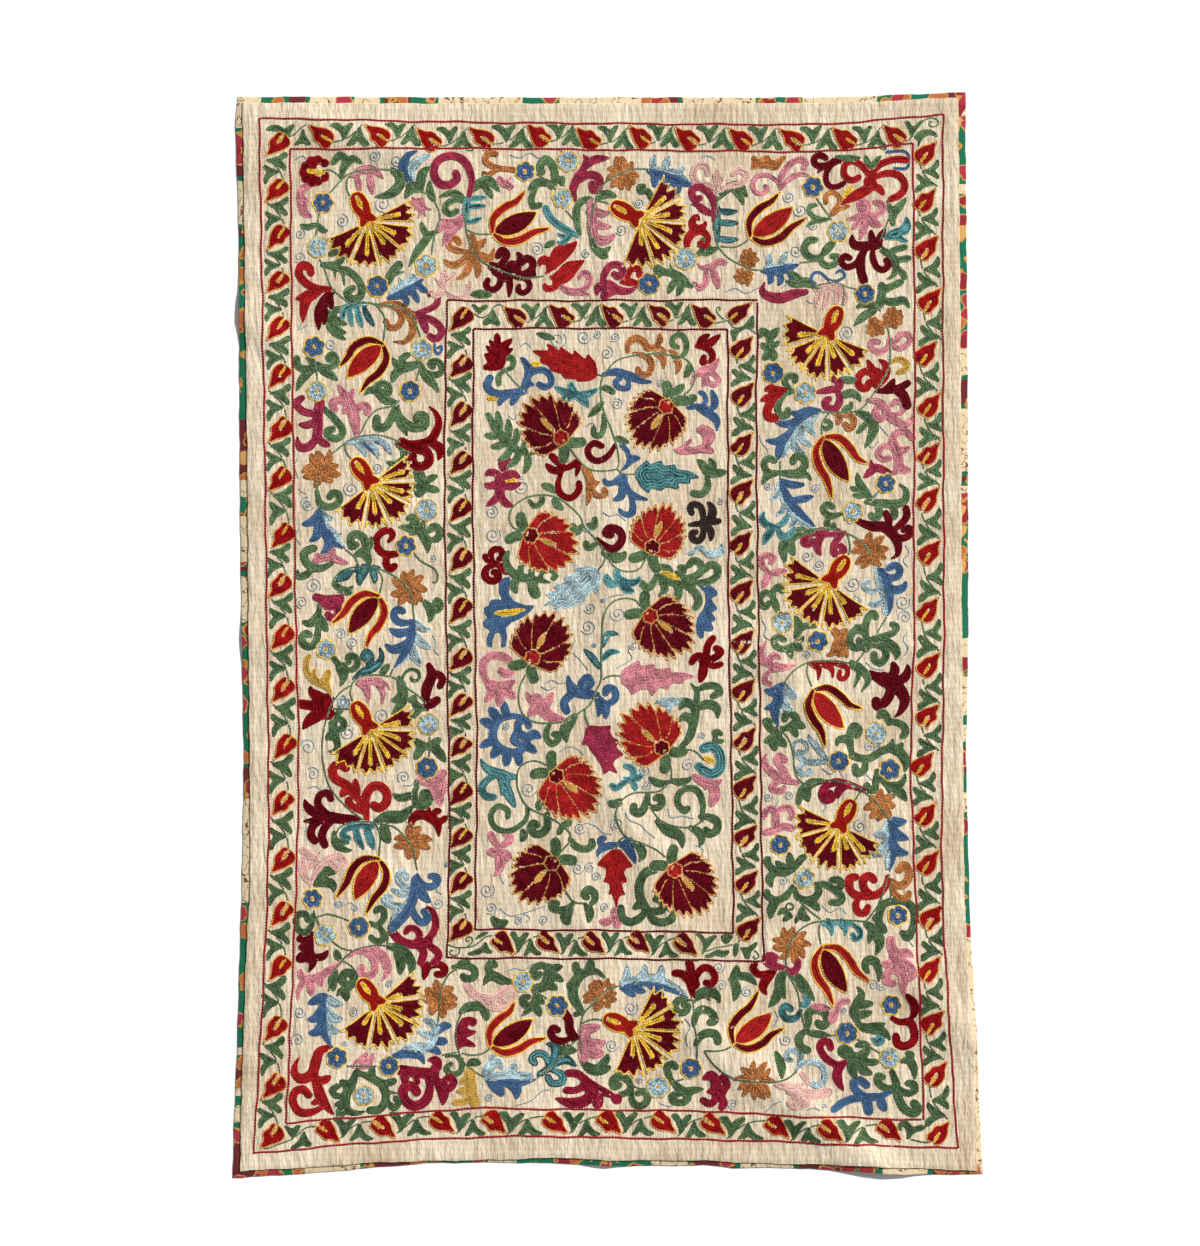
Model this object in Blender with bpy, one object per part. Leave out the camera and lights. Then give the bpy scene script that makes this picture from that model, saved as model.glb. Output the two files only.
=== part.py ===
"""Suzani: an embroidered cotton cloth on a printed cotton lining, lying face up on a flat surface.

X runs across the cloth, Y up it and Z out of its face. The origin is on the surface, under the middle.
The lining is the wider layer and shows as a narrow rim all round the front cloth. Both layers rise
together over a few soft folds and lie flat everywhere else.
"""

import math
from collections import namedtuple

import bmesh
import bpy

MM = 0.001

# Thickness of each layer, and the play between them, in mm.
LINING_THICK = 1.0
FRONT_THICK = 1.5
PLY_PLAY = 0.3

# How many cells the front cloth is divided into, across and up. The lining has one more ring of them.
CELLS_ACROSS = 32
CELLS_UP = 47

# The two long sides, in mm: how far from the middle line each layer's edge lies at heights up the cloth.
Side = namedtuple("Side", "up front_left lining_left front_right lining_right")
SIDES = (
    Side(737, -501.0, -507.2, 479.8, 490.7),
    Side(690, -500.3, -511.0, 480.2, 489.8),
    Side(560, -498.6, -506.4, 481.4, 491.0),
    Side(376, -496.2, -505.4, 483.3, 492.8),
    Side(190, -494.0, -504.4, 484.0, 493.4),
    Side(20, -492.8, -502.4, 484.7, 493.6),
    Side(-83, -492.0, -500.6, 485.6, 492.6),
    Side(-165, -491.2, -499.0, 486.6, 490.4),
    Side(-336, -490.2, -502.0, 487.9, 495.0),
    Side(-395, -494.3, -503.8, 490.1, 496.3),
    Side(-470, -497.5, -506.0, 495.0, 501.2),
    Side(-557, -500.3, -508.6, 500.6, 506.0),
    Side(-654, -503.0, -512.8, 505.0, 509.4),
    Side(-735, -504.4, -514.6, 505.5, 514.6),
)

# The two ends, in mm: how far up each layer's edge lies at places across the cloth.
End = namedtuple("End", "across front_top lining_top front_bottom lining_bottom")
ENDS = (
    End(-510, 729.1, 737.1, -735.7, -744.6),
    End(-460, 728.6, 737.1, -733.0, -741.6),
    End(-395, 728.2, 737.4, -729.4, -737.4),
    End(-330, 728.0, 736.9, -724.0, -731.3),
    End(-240, 727.6, 736.6, -721.4, -724.0),
    End(-148, 727.5, 736.5, -719.9, -723.4),
    End(-66, 727.7, 736.2, -716.8, -724.6),
    End(0, 728.0, 736.6, -720.4, -728.6),
    End(140, 728.2, 736.4, -720.9, -727.4),
    End(175, 728.2, 736.0, -723.2, -731.4),
    End(240, 728.2, 736.4, -725.6, -730.6),
    End(325, 728.4, 736.9, -726.8, -735.2),
    End(400, 731.6, 740.2, -730.2, -739.4),
    End(434, 735.1, 741.2, -732.0, -740.0),
    End(515, 735.0, 744.6, -735.7, -739.6),
)

# The folds that stand up from the surface, in mm: a soft ridge from one end to the other, its whole
# width, how high its crest is, and how far it takes to rise from nothing at each of its two ends.
Fold = namedtuple("Fold", "name across_1 up_1 across_2 up_2 width height run_in")
FOLDS = (
    Fold("spine crease, top", -6, 735, -2, 360, 78, 1.4, 40),
    Fold("spine crease, middle", -2, 400, -3, -120, 78, 2.2, 60),
    Fold("spine crease, bottom", -6, -420, -8, -735, 74, 2.8, 60),
    Fold("cross crease, left", -515, -8, -180, -16, 80, 2.4, 60),
    Fold("cross crease, right", 110, -16, 515, -8, 80, 2.8, 60),
    Fold("upper right slant", 205, 0, 395, -292, 96, 4.2, 70),
    Fold("middle slant", -20, -170, 165, -520, 96, 3.4, 80),
    Fold("lower slant, top", 70, -505, 240, -632, 92, 5.0, 70),
    Fold("lower slant, foot", 215, -612, 385, -745, 92, 6.0, 60),
    Fold("right edge lift", 400, -460, 520, -572, 88, 4.6, 50),
    Fold("top left slant", -425, 706, -230, 642, 84, 3.4, 60),
    Fold("upper middle slant", -76, 310, -4, 172, 84, 2.6, 50),
    Fold("lower middle slant", -70, -215, -42, -405, 84, 2.6, 50),
    Fold("left edge lift", -515, 452, -440, 390, 80, 4.0, 40),
    Fold("lower left swell", -330, -350, -268, -350, 104, 3.2, 50),
)

# Low swells where the cloth hasn't settled, in mm: middle, radius and height.
Swell = namedtuple("Swell", "across up radius height")
SWELLS = (
    Swell(-300, 540, 130, 1.2),
    Swell(250, 500, 150, 1.4),
    Swell(350, 200, 120, 1.3),
    Swell(-340, 150, 140, 1.2),
    Swell(-200, -120, 110, 1.0),
    Swell(-360, -560, 120, 1.4),
    Swell(-120, -640, 100, 1.1),
    Swell(420, -660, 90, 1.6),
)

FRONT_COLOUR = (0.60, 0.53, 0.43, 1.0)
LINING_COLOUR = (0.10, 0.24, 0.15, 1.0)
CLOTH_ROUGHNESS = 0.9


def smooth(t):
    """0 at t = 0 and 1 at t = 1, with no corner at either."""
    t = min(1.0, max(0.0, t))
    return t * t * (3.0 - 2.0 * t)


def along(table, key, column, at):
    """The column's value at a place between the table's rows."""
    rows = sorted(table, key=lambda row: getattr(row, key))
    if at <= getattr(rows[0], key):
        return getattr(rows[0], column)
    for low, high in zip(rows, rows[1:]):
        start, end = getattr(low, key), getattr(high, key)
        if at <= end:
            share = (at - start) / (end - start)
            return getattr(low, column) * (1 - share) + getattr(high, column) * share
    return getattr(rows[-1], column)


def fold_height(fold, x, y):
    """Height of one ridge over a place: a cosine bell across it, running out at its two ends."""
    run_x, run_y = fold.across_2 - fold.across_1, fold.up_2 - fold.up_1
    length = math.hypot(run_x, run_y)
    t = ((x - fold.across_1) * run_x + (y - fold.up_1) * run_y) / length
    off = abs((x - fold.across_1) * run_y - (y - fold.up_1) * run_x) / length
    if off >= fold.width / 2:
        return 0.0
    bell = 0.5 + 0.5 * math.cos(2 * math.pi * off / fold.width)
    at_edge_1 = abs(fold.across_1) > 500 or abs(fold.up_1) > 730
    at_edge_2 = abs(fold.across_2) > 500 or abs(fold.up_2) > 730
    rise = 1.0 if at_edge_1 else smooth(t / fold.run_in + 0.5)
    fall = 1.0 if at_edge_2 else smooth((length - t) / fold.run_in + 0.5)
    return fold.height * bell * rise * fall


def lift(x, y):
    """How far the cloth stands off the surface at a place, in mm."""
    tallest = max(fold_height(fold, x, y) for fold in FOLDS)
    for swell in SWELLS:
        off = math.hypot(x - swell.across, y - swell.up) / swell.radius
        if off < 1.0:
            tallest = max(tallest, swell.height * (0.5 + 0.5 * math.cos(math.pi * off)))
    return tallest


def plan_place(layer, share_across, share_up):
    """Where a point of the layer lies, seen from above, from its shares of the width and the height."""
    low, high = -727.0, 730.0
    up = low + (high - low) * share_up
    left = along(SIDES, "up", layer + "_left", up)
    right = along(SIDES, "up", layer + "_right", up)
    x = left + (right - left) * share_across
    bottom = along(ENDS, "across", layer + "_bottom", x)
    top = along(ENDS, "across", layer + "_top", x)
    return x, bottom + (top - bottom) * share_up


def front_place(i, j):
    return plan_place("front", i / CELLS_ACROSS, j / CELLS_UP)


def lining_place(i, j):
    """Under the front cloth the lining's points match the front's; its outer ring lies on its own edge."""
    inner_i = min(max(i - 1, 0), CELLS_ACROSS)
    inner_j = min(max(j - 1, 0), CELLS_UP)
    x, y = front_place(inner_i, inner_j)
    if i in (0, CELLS_ACROSS + 2):
        x = along(SIDES, "up", "lining_left" if i == 0 else "lining_right", y)
    if j in (0, CELLS_UP + 2):
        y = along(ENDS, "across", "lining_bottom" if j == 0 else "lining_top", x)
    return x, y


def cloth(name, place, cells_across, cells_up, underside, thick, colour):
    """A sheet of even thickness that follows the folds, from a grid that is placed and then extruded."""
    bm = bmesh.new()
    bmesh.ops.create_grid(bm, x_segments=cells_across, y_segments=cells_up, size=0.5)
    bmesh.ops.triangulate(bm, faces=bm.faces[:], quad_method="FIXED")
    for vert in bm.verts:
        i = round((vert.co.x + 0.5) * cells_across)
        j = round((vert.co.y + 0.5) * cells_up)
        x, y = place(i, j)
        vert.co = (x * MM, y * MM, (underside + lift(x, y)) * MM)
    grown = bmesh.ops.extrude_face_region(bm, geom=bm.faces[:])
    top = [item for item in grown["geom"] if isinstance(item, bmesh.types.BMVert)]
    bmesh.ops.translate(bm, verts=top, vec=(0.0, 0.0, thick * MM))
    bmesh.ops.recalc_face_normals(bm, faces=bm.faces[:])
    mesh = bpy.data.meshes.new(name)
    bm.to_mesh(mesh)
    bm.free()
    mesh.shade_smooth()
    mesh.set_sharp_from_angle(angle=math.radians(50))
    obj = bpy.data.objects.new(name, mesh)
    bpy.context.scene.collection.objects.link(obj)
    paint = bpy.data.materials.new(name + "_cloth")
    paint.use_nodes = True
    shader = paint.node_tree.nodes["Principled BSDF"]
    shader.inputs["Base Color"].default_value = colour
    shader.inputs["Roughness"].default_value = CLOTH_ROUGHNESS
    shader.inputs["Metallic"].default_value = 0.0
    mesh.materials.append(paint)
    return obj


for old in list(bpy.data.objects):
    bpy.data.objects.remove(old, do_unlink=True)

cloth("lining", lining_place, CELLS_ACROSS + 2, CELLS_UP + 2, 0.0, LINING_THICK, LINING_COLOUR)
cloth(
    "front_cloth",
    front_place,
    CELLS_ACROSS,
    CELLS_UP,
    LINING_THICK + PLY_PLAY,
    FRONT_THICK,
    FRONT_COLOUR,
)
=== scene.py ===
# %% [markdown]
# # A suzani: chain-stitch embroidery on cotton
#
# A suzani is a cotton cloth covered with flowers in chain stitch. The maker draws a chart, stretches
# the cloth, and pulls silk through it with a hook, one link at a time. This lesson builds the cloth the
# same way: first the two cloth layers, then a chart of flowers and leaves, then every link of thread.
#
# The cloth lies face up and almost flat, so its place comes from the CAD frame, which is loaded first.

# %% Load the frame
import math
import random

import bmesh
import bpy
import numpy as np
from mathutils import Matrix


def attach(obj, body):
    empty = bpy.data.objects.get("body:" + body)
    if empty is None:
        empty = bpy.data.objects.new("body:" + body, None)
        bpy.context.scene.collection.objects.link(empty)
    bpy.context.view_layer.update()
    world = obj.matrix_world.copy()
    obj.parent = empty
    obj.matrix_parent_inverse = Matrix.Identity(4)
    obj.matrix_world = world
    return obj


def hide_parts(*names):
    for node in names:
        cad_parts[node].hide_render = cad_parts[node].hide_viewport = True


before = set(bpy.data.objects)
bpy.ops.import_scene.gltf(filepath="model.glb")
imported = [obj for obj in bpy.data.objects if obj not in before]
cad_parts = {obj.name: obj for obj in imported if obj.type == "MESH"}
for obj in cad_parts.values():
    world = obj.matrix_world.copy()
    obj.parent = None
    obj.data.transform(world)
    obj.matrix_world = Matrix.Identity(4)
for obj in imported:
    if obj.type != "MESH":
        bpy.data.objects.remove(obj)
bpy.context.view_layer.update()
MM = 0.001

# %% [markdown]
# ## The shape in which the cloth lies
#
# Both layers share one shape: nearly a rectangle, with slightly bowed edges and a few soft folds that
# rise a few millimetres from the floor. A cloth simulation would find its own folds, but these have to
# be where the real ones are, so they are set one by one: each is a ridge with the profile of a bell.

# %% Edges and folds, in millimetres
UPS = (737, 690, 560, 376, 190, 20, -83, -165, -336, -395, -470, -557, -654, -735)
SIDE_EDGES = {
    "front_left": (
        -501, -500.3, -498.6, -496.2, -494, -492.8, -492, -491.2, -490.2, -494.3, -497.5, -500.3, -503, -504.4),
    "lining_left": (
        -507.2, -511, -506.4, -505.4, -504.4, -502.4, -500.6, -499, -502, -503.8, -506, -508.6, -512.8, -514.6),
    "front_right": (
        479.8, 480.2, 481.4, 483.3, 484, 484.7, 485.6, 486.6, 487.9, 490.1, 495, 500.6, 505, 505.5),
    "lining_right": (
        490.7, 489.8, 491, 492.8, 493.4, 493.6, 492.6, 490.4, 495, 496.3, 501.2, 506, 509.4, 514.6),
}
ACROSSES = (-510, -460, -395, -330, -240, -148, -66, 0, 140, 175, 240, 325, 400, 434, 515)
END_EDGES = {
    "front_top": (
        729.1, 728.6, 728.2, 728, 727.6, 727.5, 727.7, 728, 728.2, 728.2, 728.2, 728.4, 731.6, 735.1, 735),
    "lining_top": (
        737.1, 737.1, 737.4, 736.9, 736.6, 736.5, 736.2, 736.6, 736.4, 736, 736.4, 736.9, 740.2, 741.2, 744.6),
    "front_bottom": (
        -735.7, -733, -729.4, -724, -721.4, -719.9, -716.8, -720.4, -720.9, -723.2, -725.6, -726.8, -730.2,
        -732, -735.7),
    "lining_bottom": (
        -744.6, -741.6, -737.4, -731.3, -724, -723.4, -724.6, -728.6, -727.4, -731.4, -730.6, -735.2, -739.4,
        -740, -739.6),
}
# Each fold: from across and up, to across and up, whole width, height, run-in at its ends.
FOLDS = (
    (-6, 735, -2, 360, 78, 1.4, 40), (-2, 400, -3, -120, 78, 2.2, 60), (-6, -420, -8, -735, 74, 2.8, 60),
    (-515, -8, -180, -16, 80, 2.4, 60), (110, -16, 515, -8, 80, 2.8, 60), (205, 0, 395, -292, 96, 4.2, 70),
    (-20, -170, 165, -520, 96, 3.4, 80), (70, -505, 240, -632, 92, 5.0, 70),
    (215, -612, 385, -745, 92, 6.0, 60), (400, -460, 520, -572, 88, 4.6, 50),
    (-425, 706, -230, 642, 84, 3.4, 60), (-76, 310, -4, 172, 84, 2.6, 50), (-70, -215, -42, -405, 84, 2.6, 50),
    (-515, 452, -440, 390, 80, 4.0, 40), (-330, -350, -268, -350, 104, 3.2, 50),
)
# Each swell: across, up, radius, height.
SWELLS = (
    (-300, 540, 130, 1.2), (250, 500, 150, 1.4), (350, 200, 120, 1.3), (-340, 150, 140, 1.2),
    (-200, -120, 110, 1.0), (-360, -560, 120, 1.4), (-120, -640, 100, 1.1), (420, -660, 90, 1.6),
)
# Sharp little creases from storage: from, to, width, height (a minus is a groove).
CREASES = (
    (-4, 735, -2, 420, 9, 0.7), (2, 400, -6, 210, 8, -0.7), (-9, 120, -3, -140, 8, 0.6),
    (-4, -420, -8, -735, 9, -0.8), (-505, -10, -330, -14, 8, 0.7), (130, -14, 500, -8, 8, -0.7),
    (-430, 712, -290, 660, 8, 0.7), (-80, 320, -20, 190, 7, 0.6), (180, 5, 400, -300, 9, -0.8),
    (-30, -180, 150, -500, 8, 0.7), (60, -510, 260, -640, 9, -0.9), (230, -612, 400, -742, 10, 1.0),
    (-90, -200, -50, -400, 7, 0.6), (-480, -600, -330, -660, 8, 0.7), (-460, 100, -350, 60, 7, 0.5),
    (300, 640, 430, 560, 8, 0.6), (-250, -640, -150, -560, 8, 0.6), (340, 330, 470, 250, 8, 0.6),
    (-420, -250, -300, -300, 8, 0.6), (90, 250, 220, 150, 7, 0.5),
)
CREASE_RUN_IN = 30.0
print(len(FOLDS), "folds,", len(SWELLS), "swells and", len(CREASES), "creases")

# %% The height of the cloth
def smooth(t):
    """0 up to t = 0 and 1 from t = 1, with no corner at either."""
    t = np.clip(t, 0.0, 1.0)
    return t * t * (3.0 - 2.0 * t)


def lift(x, y):
    """How far the cloth stands off the floor at these places, in mm."""
    x, y = np.asarray(x, float), np.asarray(y, float)
    tallest = np.zeros(np.broadcast(x, y).shape)
    for x1, y1, x2, y2, width, height, run_in in FOLDS:
        run_x, run_y = x2 - x1, y2 - y1
        length = math.hypot(run_x, run_y)
        t = ((x - x1) * run_x + (y - y1) * run_y) / length
        off = np.abs((x - x1) * run_y - (y - y1) * run_x) / length
        bell = np.where(off < width / 2, 0.5 + 0.5 * np.cos(2 * np.pi * off / width), 0.0)
        # a fold that reaches the cloth's edge runs out over it at its full height
        rise = 1.0 if abs(x1) > 500 or abs(y1) > 730 else smooth(t / run_in + 0.5)
        fall = 1.0 if abs(x2) > 500 or abs(y2) > 730 else smooth((length - t) / run_in + 0.5)
        tallest = np.maximum(tallest, height * bell * rise * fall)
    for across, up, radius, height in SWELLS:
        off = np.hypot(x - across, y - up) / radius
        tallest = np.maximum(tallest, np.where(off < 1, height * (0.5 + 0.5 * np.cos(np.pi * off)), 0.0))
    return tallest


def crinkle(x, y):
    """The small puckers that the stitching pulls into the cloth, and the storage creases, in mm."""
    # three sizes of pucker, from broad to fine: height, then waves across and up that bend each other
    rise = 0.22 * np.sin(x / 17.0 + 2.0 * np.sin(y / 61.0)) * np.sin(y / 23.0 + 1.5 * np.sin(x / 47.0))
    rise += 0.16 * np.sin(x / 7.3 + 1.7 * np.sin(y / 29.0)) * np.sin(y / 9.7 + np.sin(x / 13.0))
    fine_across = np.sin(x / 4.1 + 1.4 * np.sin(y / 31.0) + 0.9 * np.sin(y / 13.0))
    rise += 0.17 * fine_across * np.sin(y / 8.9 + 1.6 * np.sin(x / 19.0))
    for x1, y1, x2, y2, width, height in CREASES:
        run_x, run_y = x2 - x1, y2 - y1
        length = math.hypot(run_x, run_y)
        t = ((x - x1) * run_x + (y - y1) * run_y) / length
        wander = 3.0 * np.sin(t / 41.0) + 1.5 * np.sin(t / 17.0)
        off = ((x - x1) * run_y - (y - y1) * run_x) / length + wander
        ends = smooth(t / CREASE_RUN_IN) * smooth((length - t) / CREASE_RUN_IN)
        rise = rise + height * np.exp(-((off / width) ** 2) * 2.5) * ends
    return rise

# %% Places on a layer
def edge(table, name, at):
    """Where this edge of a layer lies at these places."""
    keys = UPS if table is SIDE_EDGES else ACROSSES
    pairs = sorted(zip(keys, table[name]))
    return np.interp(at, [k for k, v in pairs], [v for k, v in pairs])


FOOT, RISE = -727.0, 1457.0  # where the cloth starts and how far it goes up, in mm


def plan_place(layer, share_across, share_up):
    """Where a point of the layer lies, seen from above, from its shares of the width and the height."""
    up = FOOT + RISE * share_up
    left, right = edge(SIDE_EDGES, layer + "_left", up), edge(SIDE_EDGES, layer + "_right", up)
    x = left + (right - left) * share_across
    bottom, top = edge(END_EDGES, layer + "_bottom", x), edge(END_EDGES, layer + "_top", x)
    return x, bottom + (top - bottom) * share_up


# In mm. The cotton alone is a little thinner than its solid, and the stitches make up the rest.
GROUND_TOP = 2.75
GROUND_THICK = 1.4
LINING_THICK = 0.9


def stand(x, y):
    """Height of the front cloth's face at these places, in mm."""
    x, y = np.asarray(x, float), np.asarray(y, float)
    return GROUND_TOP + lift(x, y) + crinkle(x, y)


folds = lift(np.linspace(-500, 500, 400)[:, None], np.linspace(-730, 730, 600)[None, :])
print("tallest fold", round(float(folds.max()), 2), "mm")

# %% [markdown]
# ## The two cloth layers
#
# The front is a hand-woven cotton, cut a little larger than its outline and turned in at its edge as a
# narrow hem. The lining is a thin printed cotton that shows as a rim. Each is a grid whose points are
# laid on the shape above and then extruded by the cloth's thickness, so it is one closed sheet.
# A grid of 8 mm is fine enough for the puckers. The weave is finer than any mesh, so it is left to bump.

# %% Sheets from a grid
BAKE_WIDE, BAKE_TALL = 1.06, 1.56  # what the bake map covers of the floor, in metres


def sheet_of(name, layer, cells_across, cells_up, underside, thick, puckers):
    """One cloth as a closed sheet. puckers is how much of the stitching's puckers it takes up."""
    bm = bmesh.new()
    bmesh.ops.create_grid(bm, x_segments=cells_across, y_segments=cells_up, size=0.5)
    share = np.array([vert.co[:2] for vert in bm.verts]) + 0.5
    x, y = plan_place(layer, share[:, 0], share[:, 1])
    # a hand-turned edge wavers by half a millimetre, and the wavering dies out within a centimetre of it
    inward = np.minimum(share, 1 - share) * (1000, 1450)
    near_edge = np.exp(-np.minimum(inward[:, 0], inward[:, 1]) / 9.0)
    outward = np.sign(share - 0.5) * 0.6
    x = x + near_edge * (0.7 * np.sin(y / 11.0) + 0.5 * np.sin(y / 4.3 + 1.0)) * outward[:, 0]
    y = y + near_edge * (0.7 * np.sin(x / 12.0) + 0.5 * np.sin(x / 4.7 + 2.0)) * outward[:, 1]
    z = underside + lift(x, y) + puckers * crinkle(x, y)
    for vert, px, py, pz in zip(bm.verts, x, y, z):
        vert.co = (px * MM, py * MM, pz * MM)
    grown = bmesh.ops.extrude_face_region(bm, geom=bm.faces[:])
    top = [item for item in grown["geom"] if isinstance(item, bmesh.types.BMVert)]
    bmesh.ops.translate(bm, verts=top, vec=(0, 0, thick * MM))
    bmesh.ops.recalc_face_normals(bm, faces=bm.faces[:])
    rims = [e for e in bm.edges if len(e.link_faces) == 2 and e.calc_face_angle(0) > 1.0]
    bmesh.ops.bevel(bm, geom=rims, offset=0.45 * MM, offset_type="OFFSET", affect="EDGES", segments=2,
                    profile=0.5, material=-1, clamp_overlap=True)
    # the bake map: the face of the cloth on its left half, the underside on its right half
    uv = bm.loops.layers.uv.new("OFBake")
    for face in bm.faces:
        half = 0.0 if face.normal.z >= -0.2 else 0.5
        for loop in face.loops:
            u, v = loop.vert.co.x / BAKE_WIDE + 0.5, loop.vert.co.y / BAKE_TALL + 0.5
            loop[uv].uv = (half + 0.5 * u * 0.98 + 0.005, v)
    mesh = bpy.data.meshes.new(name)
    bm.to_mesh(mesh)
    bm.free()
    mesh.shade_smooth()
    piece = bpy.data.objects.new(name, mesh)
    bpy.context.scene.collection.objects.link(piece)
    print(name, len(mesh.polygons), "faces")
    return piece


ground = sheet_of("cotton_ground", "front", 126, 184, GROUND_TOP - GROUND_THICK, GROUND_THICK, 1.0)
back = sheet_of("printed_lining", "lining", 78, 112, 0.05, LINING_THICK, 0.0)

# %% [markdown]
# ## One link of chain stitch
#
# Each link is a small loop of silk: two strands that leave one hole, swell apart and meet in the next.
# Seen from above it is a plump V. It could be two curled tubes, but there are tens of thousands of
# links, so one link has eight corners and eight faces: an open back, two crowns, two feet and a head.

# %% The link
def one_link():
    """The link's corners and its triangles. Along it 1 is its length, across 1 is its width, up is in mm."""
    bm = bmesh.new()
    hole = bm.verts.new((-0.08, 0.0, 0.12))
    backs = [bm.verts.new((-0.06, side * 0.42, 0.06)) for side in (1, -1)]
    feet = [bm.verts.new((0.62, side * 0.56, -0.04)) for side in (1, -1)]
    crowns = [bm.verts.new((0.5, side * 0.29, 0.92)) for side in (1, -1)]
    head = bm.verts.new((1.16, 0.0, 0.42))
    for back, foot, crown in zip(backs, feet, crowns):
        for loop in ((hole, head, crown), (hole, crown, back), (back, crown, foot), (foot, crown, head)):
            bm.faces.new(loop)
    bm.verts.index_update()
    co = np.array([vert.co[:] for vert in bm.verts])
    tri = np.array([[vert.index for vert in face.verts] for face in bm.faces])
    # Every face should look up, so a face that looks down is turned round.
    a, b, c = (co[tri[:, k]] for k in range(3))
    down = np.cross(b - a, c - a)[:, 2] < 0
    tri[down] = tri[down][:, ::-1]
    bm.free()
    return co, tri


LINK_CO, LINK_TRI = one_link()
# How wide a row is and how long a link is, in mm.
ROW = 1.9
LINK = 4.0
print("a link has", len(LINK_CO), "corners and", len(LINK_TRI), "faces")

# %% [markdown]
# ## Filling a shape with rows
#
# The embroiderer works round the outline of a leaf first and then round inside that, row by row, until
# it is full. The same rows come from a height field: at every place, how deep it is inside the shape.
# Its level lines at half a row, one and a half rows and so on are the rows. A shape that is worked
# first holds its ground: later rows stop at its edge, so no thread lies over another by accident.

# %% The chart and its grid
UNIT = 1.37  # one unit of the drawing chart, in mm on the cloth
MIDDLE_ACROSS, MIDDLE_DOWN = 608.2, 634.5  # the cloth's origin on the chart
# The grid of the field covers the cloth: its cell, its west and south edges and its reach, in mm.
CELL = 0.8
WEST, SOUTH = -530.0, -760.0
taken = np.zeros((int(1520 / CELL), int(1060 / CELL)), bool)  # which cells hold finished work
threads = {}  # (silk, part of the cloth): rows of links, each link a start, a step and a width
beds = {}  # (silk, part of the cloth): the corners of the patches under the rows


def chart(across, down):
    """A place on the drawing chart, in mm on the cloth."""
    return (across - MIDDLE_ACROSS) * UNIT, (MIDDLE_DOWN - down) * UNIT


def window(low_x, low_y, high_x, high_y):
    """The part of the chart's grid that holds these corners, as slices and the places of its cells."""
    i0, i1 = max(int((low_y - SOUTH) / CELL) - 1, 0), min(int((high_y - SOUTH) / CELL) + 2, taken.shape[0])
    j0, j1 = max(int((low_x - WEST) / CELL) - 1, 0), min(int((high_x - WEST) / CELL) + 2, taken.shape[1])
    y = SOUTH + CELL * np.arange(i0, i1)
    x = WEST + CELL * np.arange(j0, j1)
    return (slice(i0, i1), slice(j0, j1)), x, y


print("grid of", taken.shape[1], "by", taken.shape[0], "cells")

# %% How deep a place lies inside a shape
def stroke_field(strokes, x, y):
    """How deep each cell lies inside tapering strokes, in mm. A stroke is a row of (across, up, radius)."""
    field = np.full((len(y), len(x)), -9.0)
    for stroke in strokes:
        stroke = np.asarray(stroke, float).reshape(-1, 3)
        if len(stroke) == 1:
            stroke = np.vstack([stroke, stroke])
        for (ax, ay, ar), (bx, by, br) in zip(stroke[:-1], stroke[1:]):
            reach = max(ar, br) + 3.5
            i0, i1 = np.searchsorted(y, (min(ay, by) - reach, max(ay, by) + reach))
            j0, j1 = np.searchsorted(x, (min(ax, bx) - reach, max(ax, bx) + reach))
            gx, gy = x[None, j0:j1], y[i0:i1, None]
            ex, ey = bx - ax, by - ay
            t = np.clip(((gx - ax) * ex + (gy - ay) * ey) / max(ex * ex + ey * ey, 1e-9), 0, 1)
            part = ar + (br - ar) * t - np.hypot(gx - ax - t * ex, gy - ay - t * ey)
            np.maximum(field[i0:i1, j0:j1], part, out=field[i0:i1, j0:j1])
    return field


def ring_field(ring, x, y):
    """How deep each cell lies inside a closed ring of points, in mm."""
    ring = np.asarray(ring, float)
    gx, gy = np.meshgrid(x, y)
    inside = np.zeros(gx.shape, bool)
    near = np.full(gx.shape, 1e9)
    for (ax, ay), (bx, by) in zip(ring, np.roll(ring, -1, 0)):
        ex, ey = bx - ax, by - ay
        t = np.clip(((gx - ax) * ex + (gy - ay) * ey) / max(ex * ex + ey * ey, 1e-9), 0, 1)
        near = np.minimum(near, (gx - ax - t * ex) ** 2 + (gy - ay - t * ey) ** 2)
        if ay != by:
            inside ^= ((gy < ay) != (gy < by)) & (gx < ex * (gy - ay) / ey + ax)
    return np.where(inside, 1.0, -1.0) * np.sqrt(near)


near = CELL * np.arange(-9, 10)
disc = stroke_field([(0, 0, 5)], near, near)
print("a disc of 5 mm is", disc.max(), "mm deep")

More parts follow.
